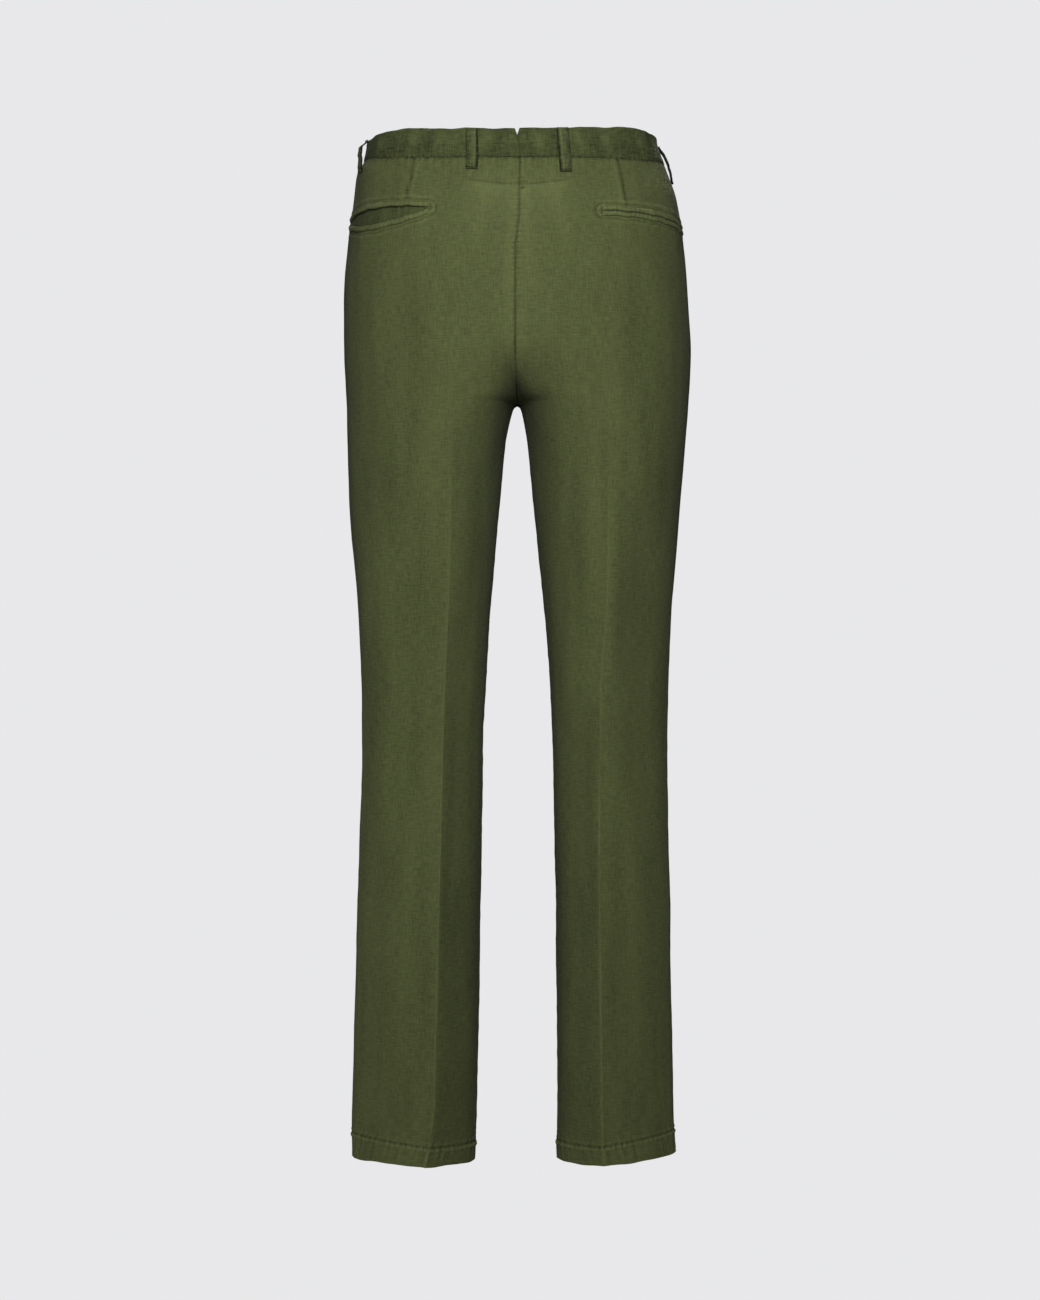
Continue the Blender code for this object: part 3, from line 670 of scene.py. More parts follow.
def linen_material(name, colour, slub=0.55, dye=0.24, wear_and_shade=0.3):
    """A linen finish that reads a piece's own grain and its tone: the height of its sewn detail,
    shown with rubbed wear and with painted light and shade.
    """
    material, tree, shader = new_finish(name)
    grain = put_node(tree, "ShaderNodeUVMap", uv_map="grain")
    tone = put_node(tree, "ShaderNodeAttribute", attribute_name="tone").outputs["Fac"]
    weave = put_node(tree, "ShaderNodeGroup", {
        "Grain": grain, "Colour": colour, "Tone": tone, "Slub": slub, "Dye": dye, "Rub": wear_and_shade,
    }, node_tree=linen_weave).outputs
    bump = put_node(tree, "ShaderNodeBump", {
        "Strength": 0.5, "Distance": 0.0003, "Height": weave["Height"]})
    set_inputs(tree, shader, {
        "Base Color": weave["Colour"], "Roughness": weave["Roughness"], "Normal": bump,
        "Specular IOR Level": 0.12, "Sheen Weight": 0.03, "Sheen Roughness": 0.5})
    return material


LINEN_COLOUR = (0.084, 0.098, 0.036, 1.0)
linen = linen_material("linen", LINEN_COLOUR)

# Where the rows of a panel change their spacing, and how many there are in each stretch
ROW_BREAKS, ROW_COUNTS = (BAND_SEAM, -135.0, -290.0, HEM + 34.0, HEM), (104, 70, 160, 36)
CREASE_COLUMNS = {"back": 64, "front": 44}
# The inner faces of the lower legs: how much painted shade darkens them, from where, and over what
INNER_SHADE, INNER_SHADE_TOP, INNER_SHADE_FADE = 0.4, -520.0, 260.0
# The hem's turning: its height, and how much thicker it makes the cloth
TURNING_HEIGHT, TURNING_WALL = 24.0, 1.1


def panel_heights():
    """Rows of a panel, close together at the pockets and at the hem."""
    return np.concatenate([np.linspace(top, bottom, count, endpoint=bottom == HEM)
                           for top, bottom, count in zip(ROW_BREAKS, ROW_BREAKS[1:], ROW_COUNTS)])


def closer_at_ends(count):
    """Shares from 0 to 1 with small steps at both ends, where the seams and creases are."""
    k = np.linspace(0.0, 1.0, count + 1)
    return k - 0.3 * np.sin(2.0 * math.pi * k) / (2.0 * math.pi)


def finish_piece(piece, node, material):
    """Gives a piece its finish, and its place in the frame."""
    piece.data.materials.append(material)
    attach(piece, "root")
    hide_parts(node)
    return piece


def build_panel(side, half):
    z = panel_heights()[:, None]
    crease_column = CREASE_COLUMNS[half]
    shares = closer_at_ends(crease_column)
    seam = read(SIDE_SEAM, "quarter", z)
    inner = 0.0 * seam
    edges = (inner, inner + 1.0, seam) if half == "back" else (seam, inner + 3.0, inner + 4.0)
    start, crease, end = (length_at(side, edge, z) for edge in edges)
    along = np.concatenate([start + (crease - start) * shares,
                            crease + (end - crease) * shares[1:]], axis=1)
    quarter = quarter_at(side, along, z)
    for column, edge in zip((0, crease_column, -1), edges):
        quarter[:, column] = edge[:, 0]
    outer, out, tone = cloth(side, half, quarter, z)
    # Painted shade darkens the face between crease and inside leg on the lower legs
    shaded_inner_face = smooth((crease - along) * (1.0 if half == "back" else -1.0) / 6.0)
    tone = tone - INNER_SHADE * shaded_inner_face * smooth((INNER_SHADE_TOP - z) / INNER_SHADE_FADE)
    above = z - HEM
    turned = TURNING_WALL * smooth((TURNING_HEIGHT - above) / 1.5)
    wall = CLOTH_WALL + turned - 0.7 * smooth(1.0 - above / 0.8)
    crease_line = outer[:, crease_column]
    drops = np.linalg.norm(np.diff(crease_line, axis=0), axis=1)
    down = np.concatenate([[0.0], np.cumsum(drops)])[:, None]
    grain = np.stack([along - crease, 0.0 * along - down], -1)
    name = half + "_panel_" + hand(side)
    piece = shell(name + "_cloth", outer, outer - out * wall[..., None], grain, tone, side < 0)
    return finish_piece(piece, name, linen)


panels = {(side, half): build_panel(side, half) for side in (1, -1) for half in ("back", "front")}

THREAD_LENGTH, THREAD_THICK, STITCH_SPACING = 2.3, 0.5, 3.0
THREAD_DARK, THREAD_LIGHT = (0.042, 0.05, 0.019, 1.0), (0.09, 0.105, 0.042, 1.0)
# Kinds of sewing: the spacing, length and thickness of the stitches, and their turn in degrees
HEM_SEWING, SMALL_TACK = (3.4, 2.7), (0.6, 1.6, 0.45, 90.0)


def stitch_tree():
    """Lays one small lens of thread at each step along rows of points, turned to the cloth."""
    tree = bpy.data.node_groups.new("stitches", "GeometryNodeTree")
    given = group_sockets(
        tree, (("Rows", "Geometry"), ("Spacing", "Float", STITCH_SPACING * MM),
               ("Length", "Float", THREAD_LENGTH * MM), ("Thickness", "Float", THREAD_THICK * MM),
               ("Turn", "Float", 0.0), ("Unevenness", "Float", 0.12), ("Seed", "Int", 7),
               ("Thread", "Material")), (("Stitches", "Geometry"),))
    row = put_node(tree, "GeometryNodeMeshToCurve", {"Mesh": given["Rows"]})
    steps = put_node(tree, "GeometryNodeResampleCurve", {"Curve": row, "Length": given["Spacing"]},
                     mode="LENGTH")
    way = put_node(tree, "GeometryNodeInputTangent")
    out = put_node(tree, "GeometryNodeInputNamedAttribute", {"Name": "out"},
                   data_type="FLOAT_VECTOR")
    lengthwise = put_node(tree, "FunctionNodeAlignRotationToVector", {"Vector": way}, axis="X")
    facing_out = put_node(tree, "FunctionNodeAlignRotationToVector",
                          {"Rotation": lengthwise, "Vector": out}, axis="Z", pivot_axis="X")
    lowest = reckon(tree, "MULTIPLY", given["Unevenness"], -1.0)
    # Inputs 2 and 3 are the float range of the random value, and output 1 is its float
    chance = put_node(tree, "FunctionNodeRandomValue", {
        2: lowest, 3: given["Unevenness"], "Seed": given["Seed"]}, data_type="FLOAT")
    turn = reckon(tree, "ADD", chance.outputs[1], given["Turn"])
    twist = put_node(tree, "FunctionNodeAxisAngleToRotation", {"Angle": turn})
    turned = put_node(tree, "FunctionNodeRotateRotation",
                      {"Rotation": facing_out, "Rotate By": twist}, rotation_space="LOCAL")
    lens = put_node(tree, "GeometryNodeMeshUVSphere", {"Segments": 6, "Rings": 4, "Radius": 0.5})
    size = put_node(tree, "ShaderNodeCombineXYZ", {
        "X": given["Length"], "Y": given["Thickness"], "Z": given["Thickness"]})
    laid = put_node(tree, "GeometryNodeInstanceOnPoints", {
        "Points": steps, "Instance": lens, "Rotation": turned, "Scale": size})
    whole = put_node(tree, "GeometryNodeRealizeInstances", {"Geometry": laid})
    dyed = put_node(tree, "GeometryNodeSetMaterial", {
        "Geometry": whole, "Material": given["Thread"]})
    put_node(tree, "NodeGroupOutput", {"Stitches": dyed})
    return tree


stitches = stitch_tree()


def two_tones(tree, share, dark, light, low=0.0, high=1.0):
    """A colour that runs from dark to light as the share goes from low to high."""
    ramp = put_node(tree, "ShaderNodeValToRGB", {"Fac": share})
    for stop, colour, place in zip(ramp.color_ramp.elements, (dark, light), (low, high)):
        stop.color, stop.position = colour, place
    return ramp


def thread_material():
    """Dull thread dyed with the garment, a little darker than the cloth, with uneven fibres."""
    material, tree, shader = new_finish("linen_thread")
    place = put_node(tree, "ShaderNodeTexCoord").outputs["Object"]
    fibres = put_node(tree, "ShaderNodeTexNoise", {"Vector": place, "Scale": 900.0})
    colour = two_tones(tree, fibres, THREAD_DARK, THREAD_LIGHT)
    set_inputs(tree, shader, {"Base Color": colour, "Roughness": 0.8, "Specular IOR Level": 0.15})
    return material


thread = thread_material()


def make_plain(piece):
    """Gives a piece the plain mesh that its modifiers make, and removes them."""
    made = piece.evaluated_get(bpy.context.evaluated_depsgraph_get())
    mesh = bpy.data.meshes.new_from_object(made)
    piece.modifiers.clear()
    piece.data = mesh
    return mesh


def sew(name, rows, spacing=STITCH_SPACING, length=THREAD_LENGTH, thick=THREAD_THICK, turn=0.0,
        slot="linen"):
    """A plain mesh of stitches along rows; each row is its points and the ways out of the cloth."""
    points, ways, edges = [], [], []
    for row, out in rows:
        edges += [(len(points) + k, len(points) + k + 1) for k in range(len(row) - 1)]
        points += (row * MM).tolist()
        ways += out.tolist()
    mesh = bpy.data.meshes.new(name + "_rows")
    mesh.from_pydata(points, edges, [])
    mesh.attributes.new("out", "FLOAT_VECTOR", "POINT").data.foreach_set(
        "vector", np.array(ways, np.float32).ravel())
    piece = new_piece(name, mesh)
    sewing = piece.modifiers.new("sewing", "NODES")
    sewing.node_group = stitches
    values = {"Spacing": spacing * MM, "Length": length * MM, "Thickness": thick * MM,
              "Turn": math.radians(turn), "Thread": thread}
    for item in stitches.interface.items_tree:
        if item.in_out == "INPUT" and item.name in values:
            sewing[item.identifier] = values[item.name]
    make_plain(piece).shade_smooth()
    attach(piece, "root")
    return piece


def on_panel(side, half, quarter, z, lift=0.12):
    """A row of points just above a panel's cloth, and the ways out of it."""
    points, out, _ = cloth(side, half, quarter, z)
    return points + out * lift, out


def hem_row(side, half):
    seam = float(read(SIDE_SEAM, "quarter", HEM))
    ends = (0.03, seam - 0.03) if half == "back" else (seam + 0.03, 3.97)
    quarter = np.linspace(*ends, 160)
    return on_panel(side, half, quarter, HEM + read(HEM_STITCH, "height", quarter))


hem_stitches = {
    (side, half): sew(f"hem_stitches_{half}_{hand(side)}", [hem_row(side, half)], *HEM_SEWING)
    for side, half in panels}


def centre_tack():
    """The small tack beside the centre back seam, below the waistband."""
    z = np.linspace(-48.5, -47.2, 9)
    return on_panel(-1, "back", quarter_at(-1, np.linspace(0.6, 5.6, 9), z), z)


centre_stitches = sew("centre_back_tack", [centre_tack()], *SMALL_TACK)


# ---- The waistband ----
# A straight band of the same linen over a firm interlining, in two halves seamed at the centre
# back under a small notch, and lapped left over right at the front.

BAND_PROUD, BAND_WALL, BAND_EDGE = 0.6, 2.4, 1.1
# How far each end passes the centre front, and how far and where the lower end steps inwards
LAP_OVER, LAP_UNDER, LAP_STEP = 16.0, 22.0, 3.0
LAP_STEP_START, LAP_STEP_END = 33.0, 19.0
NOTCH_DEPTH, NOTCH_WIDTH = 7.0, 2.4
BAND_ROWS, BAND_COLUMNS = 26, 260
BAND_COLOUR = (0.056, 0.067, 0.0245, 1.0)
linen_band = linen_material("linen_band", BAND_COLOUR, slub=0.9, dye=0.42, wear_and_shade=0.4)


def band_relief(side, along, z):
    """The band's soft buckles, the puckers of its lower seam and its centre back seam."""
    below_top, above_seam = BAND_TOP - z, z - BAND_SEAM
    buckles = 0.9 * uneven((along + 0.3 * z) / 6.0, 2.0 * side) * hump(z - 1.0, 12.0)
    cross = 0.35 * uneven((along - 1.2 * z) / 4.3, 1.0 + side) * uneven(along / 17.0, 2.0)
    puckers = 0.5 * ripple(along, 7.0, side) * np.exp(-above_seam / 8.0)
    rolled = 0.5 * ripple(along, 26.0, 1.0) * np.exp(-below_top / 7.0)
    centre = 0.6 * hump(along, 1.3) - 0.25 * (1.0 - smooth((along - 7.0) / 3.0))
    sewn_in = 0.8 * hump(above_seam, 1.6)
    return buckles + cross + puckers + rolled - sewn_in - centre


def build_band(side):
    edge_rows = BAND_EDGE * np.array([0.0, 0.12, 0.4, 1.0])
    z = np.concatenate([BAND_TOP - edge_rows,
                        np.linspace(BAND_TOP - 2.2, BAND_SEAM, BAND_ROWS)])[:, None]
    lap = LAP_OVER if side > 0 else LAP_UNDER
    whole = length_at(side, 4.0, z)
    shares = np.linspace(0.0, 1.0, BAND_COLUMNS)
    notch_columns = np.array([0.0, 0.6, 1.2, 1.8, NOTCH_WIDTH, 3.4, 4.8]) + 0.0 * z
    along = np.concatenate([notch_columns, 6.5 + (whole + lap - 6.5) * shares], axis=1)
    quarter = quarter_at(side, along, z)
    out = outward(side, quarter, z)
    step = smooth((along - whole + LAP_STEP_START) / (LAP_STEP_START - LAP_STEP_END))
    tone = band_relief(side, along, z)
    height = tone + BAND_PROUD - (LAP_STEP * step if side < 0 else 0.0)
    below_top = np.minimum(BAND_TOP - z, BAND_EDGE)
    rounding = BAND_EDGE - np.sqrt(BAND_EDGE**2 - (BAND_EDGE - below_top) ** 2)
    outer = skin(side, quarter, z) + out * (height - rounding)[..., None]
    in_notch = np.clip(1.0 - along / NOTCH_WIDTH, 0.0, 1.0)
    outer[..., 2] -= NOTCH_DEPTH * in_notch * np.clip(1.0 - (BAND_TOP - z) / 16.0, 0.0, 1.0)
    edge_wave = 0.8 * uneven(along / 9.0, 1.5 + side) * smooth(along / 12.0)
    outer[..., 2] += edge_wave * smooth((z - BAND_SEAM - 8.0) / 20.0)
    outer[..., 0] += np.where(quarter < 2.0, centre_wander(outer[..., 0], z), 0.0)
    inner = outer - out * (BAND_WALL - 2.0 * rounding)[..., None]
    grain = np.stack([0.0 * along - z, along], -1)
    name = "waistband_" + hand(side)
    piece = shell(name + "_cloth", outer, inner, grain, tone, side < 0)
    return finish_piece(piece, name, linen_band)


bands = {side: build_band(side) for side in (1, -1)}


# ---- The belt loops ----
# Six narrow strips of folded linen, edge-stitched, caught in the top of the band and tacked
# down below it. They stand off the band so that a belt can pass.

LOOP_WIDTH, LOOP_WALL, LOOP_REST = 12.0, 2.4, 0.5
LOOP_ROWS, LOOP_COLUMNS = 44, 15
LOOP_STITCH_COLUMNS, LOOP_TACK_ROWS = (4, 10), (4, 39)
# Edge-stitching and bar tacks: spacing, length and thickness of the stitches, and their turn
EDGE_SEWING, BAR_TACK = (2.6, 2.0, 0.42), (0.7, 2.4, 0.45, 90.0)
LOOP_COLOUR = (0.066, 0.078, 0.029, 1.0)
loop_linen = linen_material("loop_linen", LOOP_COLOUR, slub=0.9, dye=0.42, wear_and_shade=0.5)
# Where each hangs, as a length from the centre back seam, and how far it stands off the band
LOOPS = (
    ("name", "side", "along_top", "along_bottom", "top", "bottom", "stand_off"),
    ("loop_back_left", 1, 46, 46, 14.6, -28, 3),
    ("loop_back_right", -1, 46, 49.5, 14.6, -31, 3),
    ("loop_side_left", 1, 182, 185, 14.6, -29, 6.6),
    ("loop_side_right", -1, 211, 215, 10, -33, 2.4),
    ("loop_front_left", 1, 356, 371, 14, -30, 3),
    ("loop_front_right", -1, 336, 359, 14, -30, 3),
)


def build_loop(row):
    """A folded strip with rounded edges and ends, and a row of stitches along each edge."""
    name, side, along_top, along_bottom, top, bottom, stand_off = row
    across = np.sin(np.radians(np.linspace(-90.0, 90.0, LOOP_COLUMNS)))[None, :]
    t = ((1.0 - np.cos(np.linspace(0.0, math.pi, LOOP_ROWS))) / 2.0)[:, None]
    z = top + (bottom - top) * t + 0.0 * across
    hang = quarter_at(side, (along_top, along_bottom), (top, bottom))
    along = length_at(side, hang[0] + (hang[1] - hang[0]) * t, z) + across * LOOP_WIDTH / 2
    quarter = quarter_at(side, along, z)
    rest = LOOP_REST + BAND_PROUD * (1.0 - smooth((BAND_SEAM + 1.0 - z) / 4.0))
    stand = rest + stand_off * smooth(np.minimum(t, 1.0 - t) / 0.32)
    edge = np.sqrt(np.maximum(1.0 - np.abs(across) ** 6, 0.0))
    end = np.sqrt(np.maximum(1.0 - (2.0 * np.abs(t - 0.5)) ** 24, 0.0))
    tone = 0.22 * uneven(t * 60.0, across * 3.0 + side) - 0.45 * hump(np.abs(across) - 0.6, 0.13)
    half_wall = LOOP_WALL / 2 * np.maximum(0.25, edge * end)
    outer, inner, out = laid_on(side, quarter, z, stand + LOOP_WALL / 2 + half_wall + tone * edge,
                                stand + LOOP_WALL / 2 - half_wall)
    grain = np.stack([along, z], -1)
    # Painted shadows along both edges, strongest on one, and under the bottom end, with a painted
    # highlight beside the strongest edge; the tone also darkens the stitch grooves as painted shade
    edge_shadows = 2.9 * hump(1.0 + across, 0.28) + 1.3 * hump(1.0 - across, 0.2) + 2.4 * hump(1.0 - t, 0.05)
    edge_shadows = edge_shadows * (0.75 + 0.35 * uneven(t * 34.0, side))
    shade = 1.8 * tone + 1.0 * hump(across + 0.45, 0.2) - edge_shadows
    piece = shell(name + "_cloth", outer, inner, grain, shade, side < 0)
    finish_piece(piece, name, loop_linen)
    top = outer + out * 0.08
    rows = [(top[3:-3, column], out[3:-3, column]) for column in LOOP_STITCH_COLUMNS]
    edging = sew(name + "_stitches", rows, *EDGE_SEWING)
    ends = [(top[row, 2:13], out[row, 2:13]) for row in LOOP_TACK_ROWS]
    return piece, edging, sew(name + "_tacks", ends, *BAR_TACK)


loops = {row[0]: build_loop(row) for row in LOOPS[1:]}


# ---- The back pockets ----
# Two jetted pockets. Each mouth has a narrow folded jet above and below it. The left mouth
# hangs open, and the facing of the same linen shows in its shade.

JET_WALL, JET_HEIGHT, LIP_OUT = 1.5, 5.5, 0.12
JET_SEWING, MOUTH_TACK = (2.4, 1.9, 0.4), (0.7, 2.6, 0.5, 90.0)
JET_GRID, FACING_GRID, FACING_SHOWN = (9, 150), (11, 70), (0.06, 0.94)
FACING_FOLDS = (118.0, 125.5)
# The facing is the same linen in a darker colour: painted shade inside the open mouth
FACING_SHADED_COLOUR = (0.064, 0.076, 0.028, 1.0)
facing_linen = linen_material("facing_linen", FACING_SHADED_COLOUR, slub=0.5, dye=0.35, wear_and_shade=0.35)
jet_linen = linen_material("jet_linen", LINEN_COLOUR, wear_and_shade=0.42)


def build_jet(row, upper):
    """One jet: a folded strip with a rounded section that follows the mouth's edge."""
    side, inner_end, outer_end = row[1:4]
    level = np.linspace(0.0, 1.0, JET_GRID[0])[:, None]
    t = np.linspace(0.0, 1.0, JET_GRID[1])[None, :]
    along = inner_end + (outer_end - inner_end) * t + 0.0 * level
    mouth, _, gape = mouth_of(row, along)
    z = mouth + 0.1 + JET_HEIGHT * level if upper else mouth - gape - 0.1 - JET_HEIGHT * level
    quarter = quarter_at(side, along, z)
    crown = np.sqrt(np.maximum(1.0 - (2.0 * level - 1.0) ** 2, 0.0))
    rest = 0.45 + (0.0 if upper else LIP_OUT) * gape * (1.0 - level)
    drawn = 0.5 + 0.5 * uneven(along / 3.0, 2.0 * side)
    pucker = 0.5 * drawn * ripple(along, 5.2, side + 1.5 * level)
    round_out = (0.3 + JET_WALL * crown + pucker) * np.maximum(between_ends(t, 0.03), 0.15)
    outer, inner, _ = laid_on(side, quarter, z, rest + round_out, rest - 0.25)
    # The jet's crown and puckers are lighter, partly rubbed wear and partly painted highlight, and
    # its edges darker with painted shade
    grain, tone = np.stack([along, z], -1), 1.9 * crown + 2.0 * pucker - 1.2
    name = "pocket_jet_" + ("upper_" if upper else "lower_") + row[0]
    piece = shell(name + "_cloth", outer, inner, grain, tone, (side < 0) != upper)
    return finish_piece(piece, name, jet_linen)


def build_facing(row):
    """The facing behind the open mouth, sunk below the panel round it."""
    side, inner_end, outer_end = row[1:4]
    level = np.linspace(0.0, 1.0, FACING_GRID[0])[:, None]
    t = np.linspace(*FACING_SHOWN, FACING_GRID[1])[None, :]
    along = inner_end + (outer_end - inner_end) * t + 0.0 * level
    mouth, _, gape = mouth_of(row, along)
    z = mouth + 2.0 - (gape + 3.5) * level
    quarter = quarter_at(side, along, z)
    folds = sum(hump(along - place, 1.4) for place in FACING_FOLDS) * smooth((0.9 - level) / 0.2)
    under_jet = 1.0 - smooth(level / 0.22)
    sunk = -1.6 * smooth(gape / 8.0) - 0.3 - 0.3 * uneven(along / 9.0, 1.0) + 0.8 * folds
    sunk = sunk - 0.7 * under_jet
    outer, inner, _ = laid_on(side, quarter, z, sunk, sunk - 0.6)
    name = "pocket_facing_" + row[0]
    # Painted shadow: the facing is darker just under the upper jet, and a little darker all over
    tone = 0.9 * folds - 0.2 - 1.3 * under_jet
    piece = shell(name + "_cloth", outer, inner, np.stack([along, z], -1), tone, side < 0)
    return finish_piece(piece, name, facing_linen)


def jet_rows(row):
    """The seams that hold the jets, and the round of stitches at the mouth's inner end."""
    side, inner_end, outer_end = row[1:4]
    along = np.linspace(inner_end, outer_end - 4.0, 120)
    mouth, _, gape = mouth_of(row, along)
    turn = np.radians(np.linspace(90.0, 270.0, 40))
    round_end = inner_end + 1.0 + END_RADIUS * np.cos(turn)
    end_z = mouth[0] + (JET_SEAM + 0.2) * np.sin(turn)
    seams = ((along, mouth + JET_SEAM), (along, mouth - gape - JET_SEAM), (round_end, end_z))
    return [on_panel(side, "back", quarter_at(side, a, z), z) for a, z in seams]


def mouth_tack(row):
    """The bar tack that closes the inner end of the mouth."""
    side, inner_end = row[1:3]
    z = mouth_of(row, np.array([inner_end]))[0][0] + np.linspace(-3.4, 3.4, 10)
    along = np.full(10, inner_end - 1.0)
    return on_panel(side, "back", quarter_at(side, along, z), z, 0.3)


jets = {(row[0], upper): build_jet(row, upper) for row in POCKETS[1:] for upper in (True, False)}
facing = build_facing(POCKETS[1])
pocket_stitches = {row[0]: sew("pocket_stitches_" + row[0], jet_rows(row), *JET_SEWING)
                   for row in POCKETS[1:]}
pocket_tacks = {row[0]: sew("pocket_tack_" + row[0], [mouth_tack(row)], *MOUTH_TACK)
                for row in POCKETS[1:]}


# ---- The side pockets ----
# The hand pockets lie in the side seams, so only their mouths show: a row of stitches on the
# front panel beside the seam, with a bar tack at each end.

MOUTH_TOP, MOUTH_END, MOUTH_STITCH = -36.0, -186.0, 6.0


def side_mouth(side):
    z = np.linspace(MOUTH_TOP, MOUTH_END, 100)
    beside = length_at(side, read(SIDE_SEAM, "quarter", z), z) + MOUTH_STITCH
    return on_panel(side, "front", quarter_at(side, beside, z), z)


def side_tacks(side):
    rows = []
    for height in (MOUTH_TOP, MOUTH_END):
        z = np.full(12, height)
        seam = length_at(side, read(SIDE_SEAM, "quarter", z), z)
        beside = seam + np.linspace(0.8, MOUTH_STITCH, 12)
        rows.append(on_panel(side, "front", quarter_at(side, beside, z), z))
    return rows


side_stitches = {side: sew("side_pocket_stitches_" + hand(side), [side_mouth(side)], *EDGE_SEWING)
                 for side in (1, -1)}
side_bars = {side: sew("side_pocket_tacks_" + hand(side), side_tacks(side), *BAR_TACK)
             for side in (1, -1)}


# ---- The fly ----
# A placket of the same linen laid over the left front and stitched down in a curve. It covers
# the zip, and its free edge lies just past the centre front.

FLY_WIDTH, FLY_LAP, FLY_WALL = 36.0, 4.0, 1.2
FLY_STRAIGHT_END, FLY_END = -138.0, -174.0
FLY_ROWS, FLY_CURVE_ROWS, FLY_COLUMNS, FLY_STITCH_COLUMN = 56, 26, 31, 4


def build_fly():
    straight = np.linspace(BAND_SEAM - 0.4, FLY_STRAIGHT_END, FLY_ROWS)
    turns = np.radians(np.linspace(4.0, 88.0, FLY_CURVE_ROWS))
    curved = FLY_STRAIGHT_END + (FLY_END - FLY_STRAIGHT_END) * np.sin(turns)
    z = np.concatenate([straight, curved])[:, None]
    share = np.linspace(0.0, 1.0, FLY_COLUMNS)[None, :]
    fall = np.maximum((z - FLY_STRAIGHT_END) / (FLY_END - FLY_STRAIGHT_END), 0.0)
    width = FLY_WIDTH * np.sqrt(np.maximum(1.0 - fall * fall, 0.0))
    from_front = width + (-FLY_LAP - width) * share
    along = length_at(1, 4.0, z) - from_front
    quarter = quarter_at(1, along, z)
    pucker = 0.2 * ripple(z, 8.0, share * 4.0)
    edge = between_ends(share, 0.06)
    points, out, _ = cloth(1, "front", quarter, z, with_sewing=False)
    outer = points + out * (0.4 + (FLY_WALL + pucker) * np.maximum(edge, 0.2))[..., None]
    inner = points + out * 0.15
    # Painted shade darkens the placket towards its edges, where it meets the panel
    grain, tone = np.stack([from_front, 0.0 * from_front + z], -1), pucker - 0.6 * (1.0 - edge)
    piece = shell("fly_placket_cloth", outer, inner, grain, tone, False)
    finish_piece(piece, "fly_placket", linen)
    ways = out[1:-2, FLY_STITCH_COLUMN]
    curve = (outer[1:-2, FLY_STITCH_COLUMN] + ways * 0.1, ways)
    return piece, sew("fly_stitches", [curve], *EDGE_SEWING)


fly, fly_stitches = build_fly()


# ---- The waist button ----
# A horn-look button with a rounded rim, a dished face and four holes, sewn through the lapped end
# of the waistband with crossed thread.

BUTTON_PROFILE = ((5.8, -1.5), (7.1, -0.95), (7.45, 0.0), (7.25, 0.85), (6.6, 1.35), (5.9, 1.45),
                  (5.2, 1.2), (4.6, 0.85), (3.6, 0.7))
BUTTON_STEPS = 56
HOLE_PLACE, HOLE_RADIUS, HOLE_SIDES = 1.5, 0.8, 16
BUTTON_DARK, BUTTON_LIGHT = (0.03, 0.024, 0.013, 1.0), (0.085, 0.07, 0.04, 1.0)
HORN_STREAKS, HORN_RANGE = (90.0, 90.0, 420.0), (0.35, 0.7)


def horn_material():
    """Dark horn: drawn-out brown streaks, polished, and a little duller where it is paler."""
    material, tree, shader = new_finish("button_horn")
    place = put_node(tree, "ShaderNodeTexCoord").outputs["Object"]
    stretch = put_node(tree, "ShaderNodeMapping", {"Vector": place, "Scale": HORN_STREAKS})
    streaks = put_node(tree, "ShaderNodeTexNoise", {"Vector": stretch, "Scale": 1.0, "Detail": 4.0})
    set_inputs(tree, shader, {
        "Base Color": two_tones(tree, streaks, BUTTON_DARK, BUTTON_LIGHT, *HORN_RANGE),
        "Roughness": reckon(tree, "MULTIPLY_ADD", streaks, 0.2, 0.28)})
    return material


def ring_solid(name, profile, steps, centre=(0.0, 0.0)):
    """A closed turned solid: rings of points from the back of a profile to its front."""
    turn = np.linspace(0.0, 2.0 * math.pi, steps, endpoint=False)
    points = [(centre[0] + r * math.cos(a), centre[1] + r * math.sin(a), h)
              for r, h in profile for a in turn]
    faces = [tuple(reversed(range(steps))),
             tuple(range((len(profile) - 1) * steps, len(profile) * steps))]
    for ring in range(len(profile) - 1):
        for k in range(steps):
            after = (k + 1) % steps
            faces.append((ring * steps + k, ring * steps + after,
                          (ring + 1) * steps + after, (ring + 1) * steps + k))
    mesh = bpy.data.meshes.new(name)
    mesh.from_pydata(points, [], faces)
    return new_piece(name, mesh)


def build_button():
    button = ring_solid("waist_button_horn", BUTTON_PROFILE, BUTTON_STEPS)
    cutters = [ring_solid("hole", ((HOLE_RADIUS, -3.0), (HOLE_RADIUS, 3.0)), HOLE_SIDES, (x, y))
               for x in (-HOLE_PLACE, HOLE_PLACE) for y in (-HOLE_PLACE, HOLE_PLACE)]
    for cutter in cutters:
        hole = button.modifiers.new("hole", "BOOLEAN")
        hole.object, hole.solver = cutter, "EXACT"
    mesh = make_plain(button)
    for cutter in cutters:
        bpy.data.objects.remove(cutter)
    corners = np.array([list(corner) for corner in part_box("waist_button")]) / MM
    centre, way = corners.mean(axis=0), outward(1, 4.0, 0.0)
    turned = Vector(way).to_track_quat("Z", "Y").to_matrix()
    place = turned.to_4x4()
    place.translation = Vector(centre)
    mesh.transform(place)
    mesh.transform(place.Scale(MM, 4))
    mesh.shade_smooth()
    mesh.set_sharp_from_angle(angle=math.radians(40.0))
    mesh.materials.clear()
    finish_piece(button, "waist_button", horn_material())
    strands = []
    for diagonal, height in ((1.0, 0.95), (-1.0, 1.2)):
        across = np.array([[s * 0.5, -diagonal * s * 0.5, height] for s in (-1.0, 0.0, 1.0)])
        row = across @ np.array(turned).T + centre
        strands.append((row, np.tile(way, (3, 1))))
    sew("button_thread", strands, 0.5, 2.9 * HOLE_PLACE, 0.45, 90.0, "button_horn")


build_button()


# ---- The sides ----
# A loop over both sides that only names each one; it sets nothing else.

for side in (1, -1):
    name = hand(side)


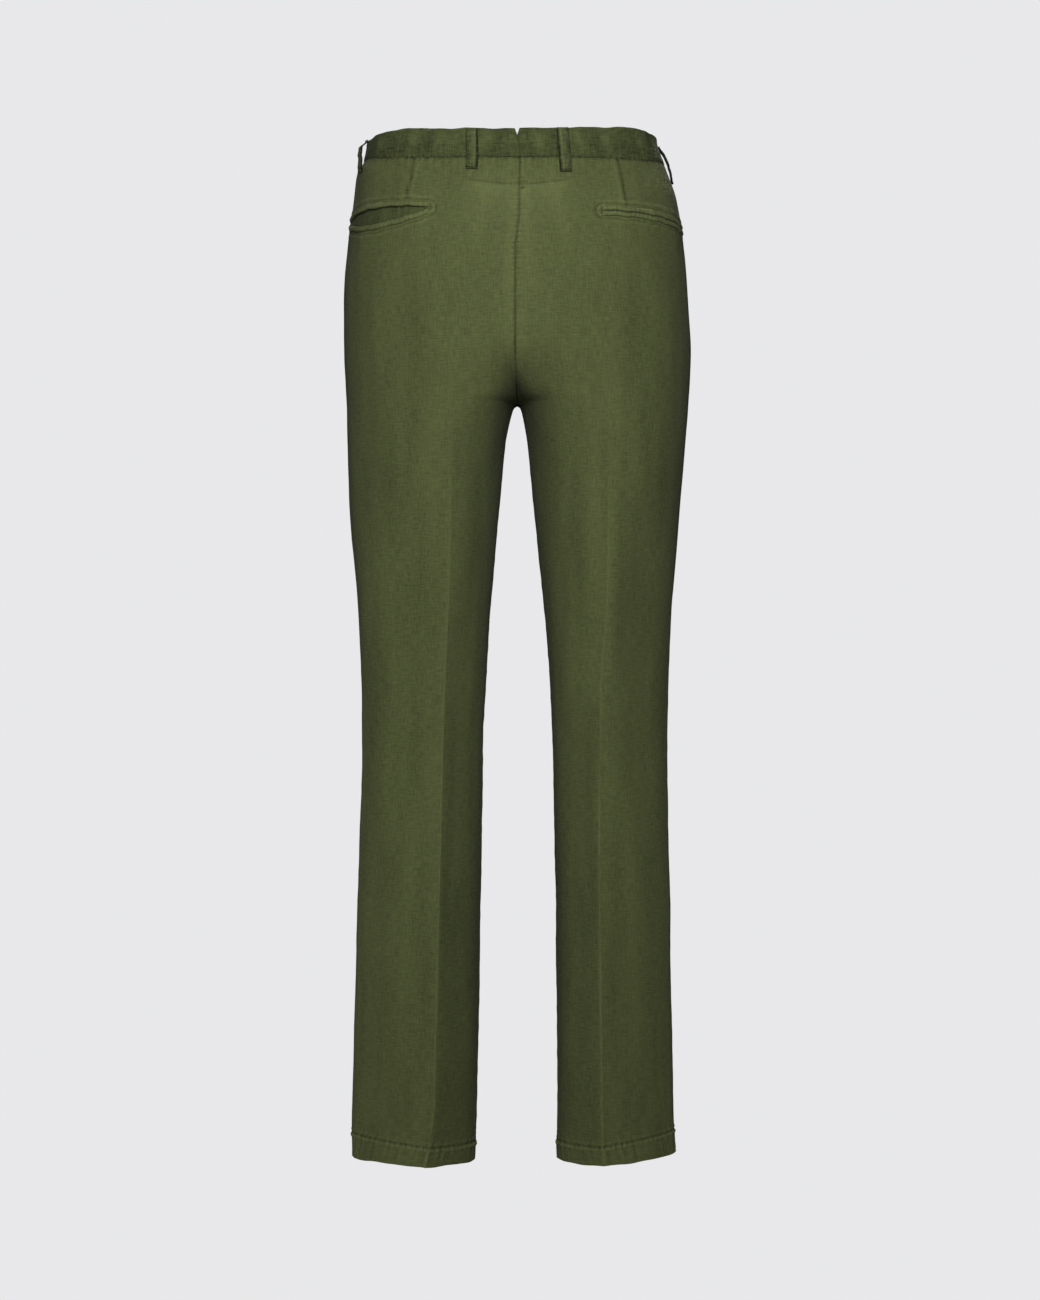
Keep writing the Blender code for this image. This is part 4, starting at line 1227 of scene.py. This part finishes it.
# ---- The setting ----
# A plain pale floor and backdrop, and the camera at the photograph's viewing angle. A soft key
# light stands above it, two low ones reach in at the sides of the legs, one lights the far side,
# and a weak one hangs over the open waist.

BACKDROP = (0.807, 0.807, 0.823, 1.0)
CAMERA_PLACE = (-0.0029, 3.2, -0.515)
# The lens follows from the photograph's height and the shared scale
METRES_PER_PIXEL, PHOTO_HEIGHT, SENSOR = 0.00105, 1300, 36.0
SKY_FILL, FLOOR_FILL = 0.042, (0.14, 0.14, 0.14, 1.0)
FLOOR_REACH, FLOOR_HEIGHT = 3.0, -1.3


def plain_to_camera(tree, seen_kind, unseen):
    """The plain backdrop to the camera, and another surface to all other light."""
    seen = put_node(tree, seen_kind, {"Color": BACKDROP})
    from_camera = put_node(tree, "ShaderNodeLightPath").outputs["Is Camera Ray"]
    mixed = put_node(tree, "ShaderNodeMixShader", {0: from_camera, 1: unseen, 2: seen})
    return {"Surface": mixed}


world = bpy.data.worlds.new("studio")
bpy.context.scene.world = world
world.use_nodes = True
sky = world.node_tree
sky.nodes.clear()
sky_fill = put_node(sky, "ShaderNodeBackground",
                    {"Color": (1.0, 1.0, 1.0, 1.0), "Strength": SKY_FILL})
put_node(sky, "ShaderNodeOutputWorld", plain_to_camera(sky, "ShaderNodeBackground", sky_fill))

floor_paint, paint, _ = new_finish("pale_floor")
paint.nodes.clear()
floor_fill = put_node(paint, "ShaderNodeBsdfDiffuse", {"Color": FLOOR_FILL})
put_node(paint, "ShaderNodeOutputMaterial", plain_to_camera(paint, "ShaderNodeEmission", floor_fill))
floor_mesh = bpy.data.meshes.new("floor")
floor_corners = [(x * FLOOR_REACH, y * FLOOR_REACH, FLOOR_HEIGHT)
                 for x, y in ((-1, -1), (1, -1), (1, 1), (-1, 1))]
floor_mesh.from_pydata(floor_corners, [], [(0, 1, 2, 3)])
floor_mesh.materials.append(floor_paint)
new_piece("floor", floor_mesh)

LIGHTS = (
    ("name", "place", "aim", "size", "power", "spread"),
    ("key_above", (0, 1.9, 0.15), (0, 0, 0.42), 0.7, 36.8, 180),
    ("side_left", (2, 0.8, -1.1), (0.1, 0, -0.9), 0.6, 1, 60),
    ("side_right", (-2, 0.8, -1.1), (-0.1, 0, -1), 0.6, 0.35, 60),
    ("far_side", (0, -2.5, 1.7), (0, 0, -0.4), 0.8, 80, 180),
    ("overhead", (0, -0.25, 1.6), (0, 0.02, -0.2), 0.4, 1.2, 30),
)
for name, place, aim, size, power, spread in LIGHTS[1:]:
    lamp = bpy.data.lights.new(name, "AREA")
    lamp.shape, lamp.size, lamp.energy = "SQUARE", size, power
    lamp.spread = math.radians(spread)
    light = new_piece(name, lamp)
    light.location = place
    light.visible_camera = False
    light.rotation_euler = (Vector(aim) - Vector(place)).to_track_quat("-Z", "Y").to_euler()

camera_data = bpy.data.cameras.new("camera")
camera_data.sensor_width = SENSOR
camera_data.lens = CAMERA_PLACE[1] / METRES_PER_PIXEL / PHOTO_HEIGHT * SENSOR
camera = new_piece("camera", camera_data)
camera.location = CAMERA_PLACE
camera.rotation_euler = (math.radians(90.0), 0.0, math.radians(180.0))
bpy.context.scene.camera = camera
bpy.context.scene.view_settings.view_transform = "Standard"
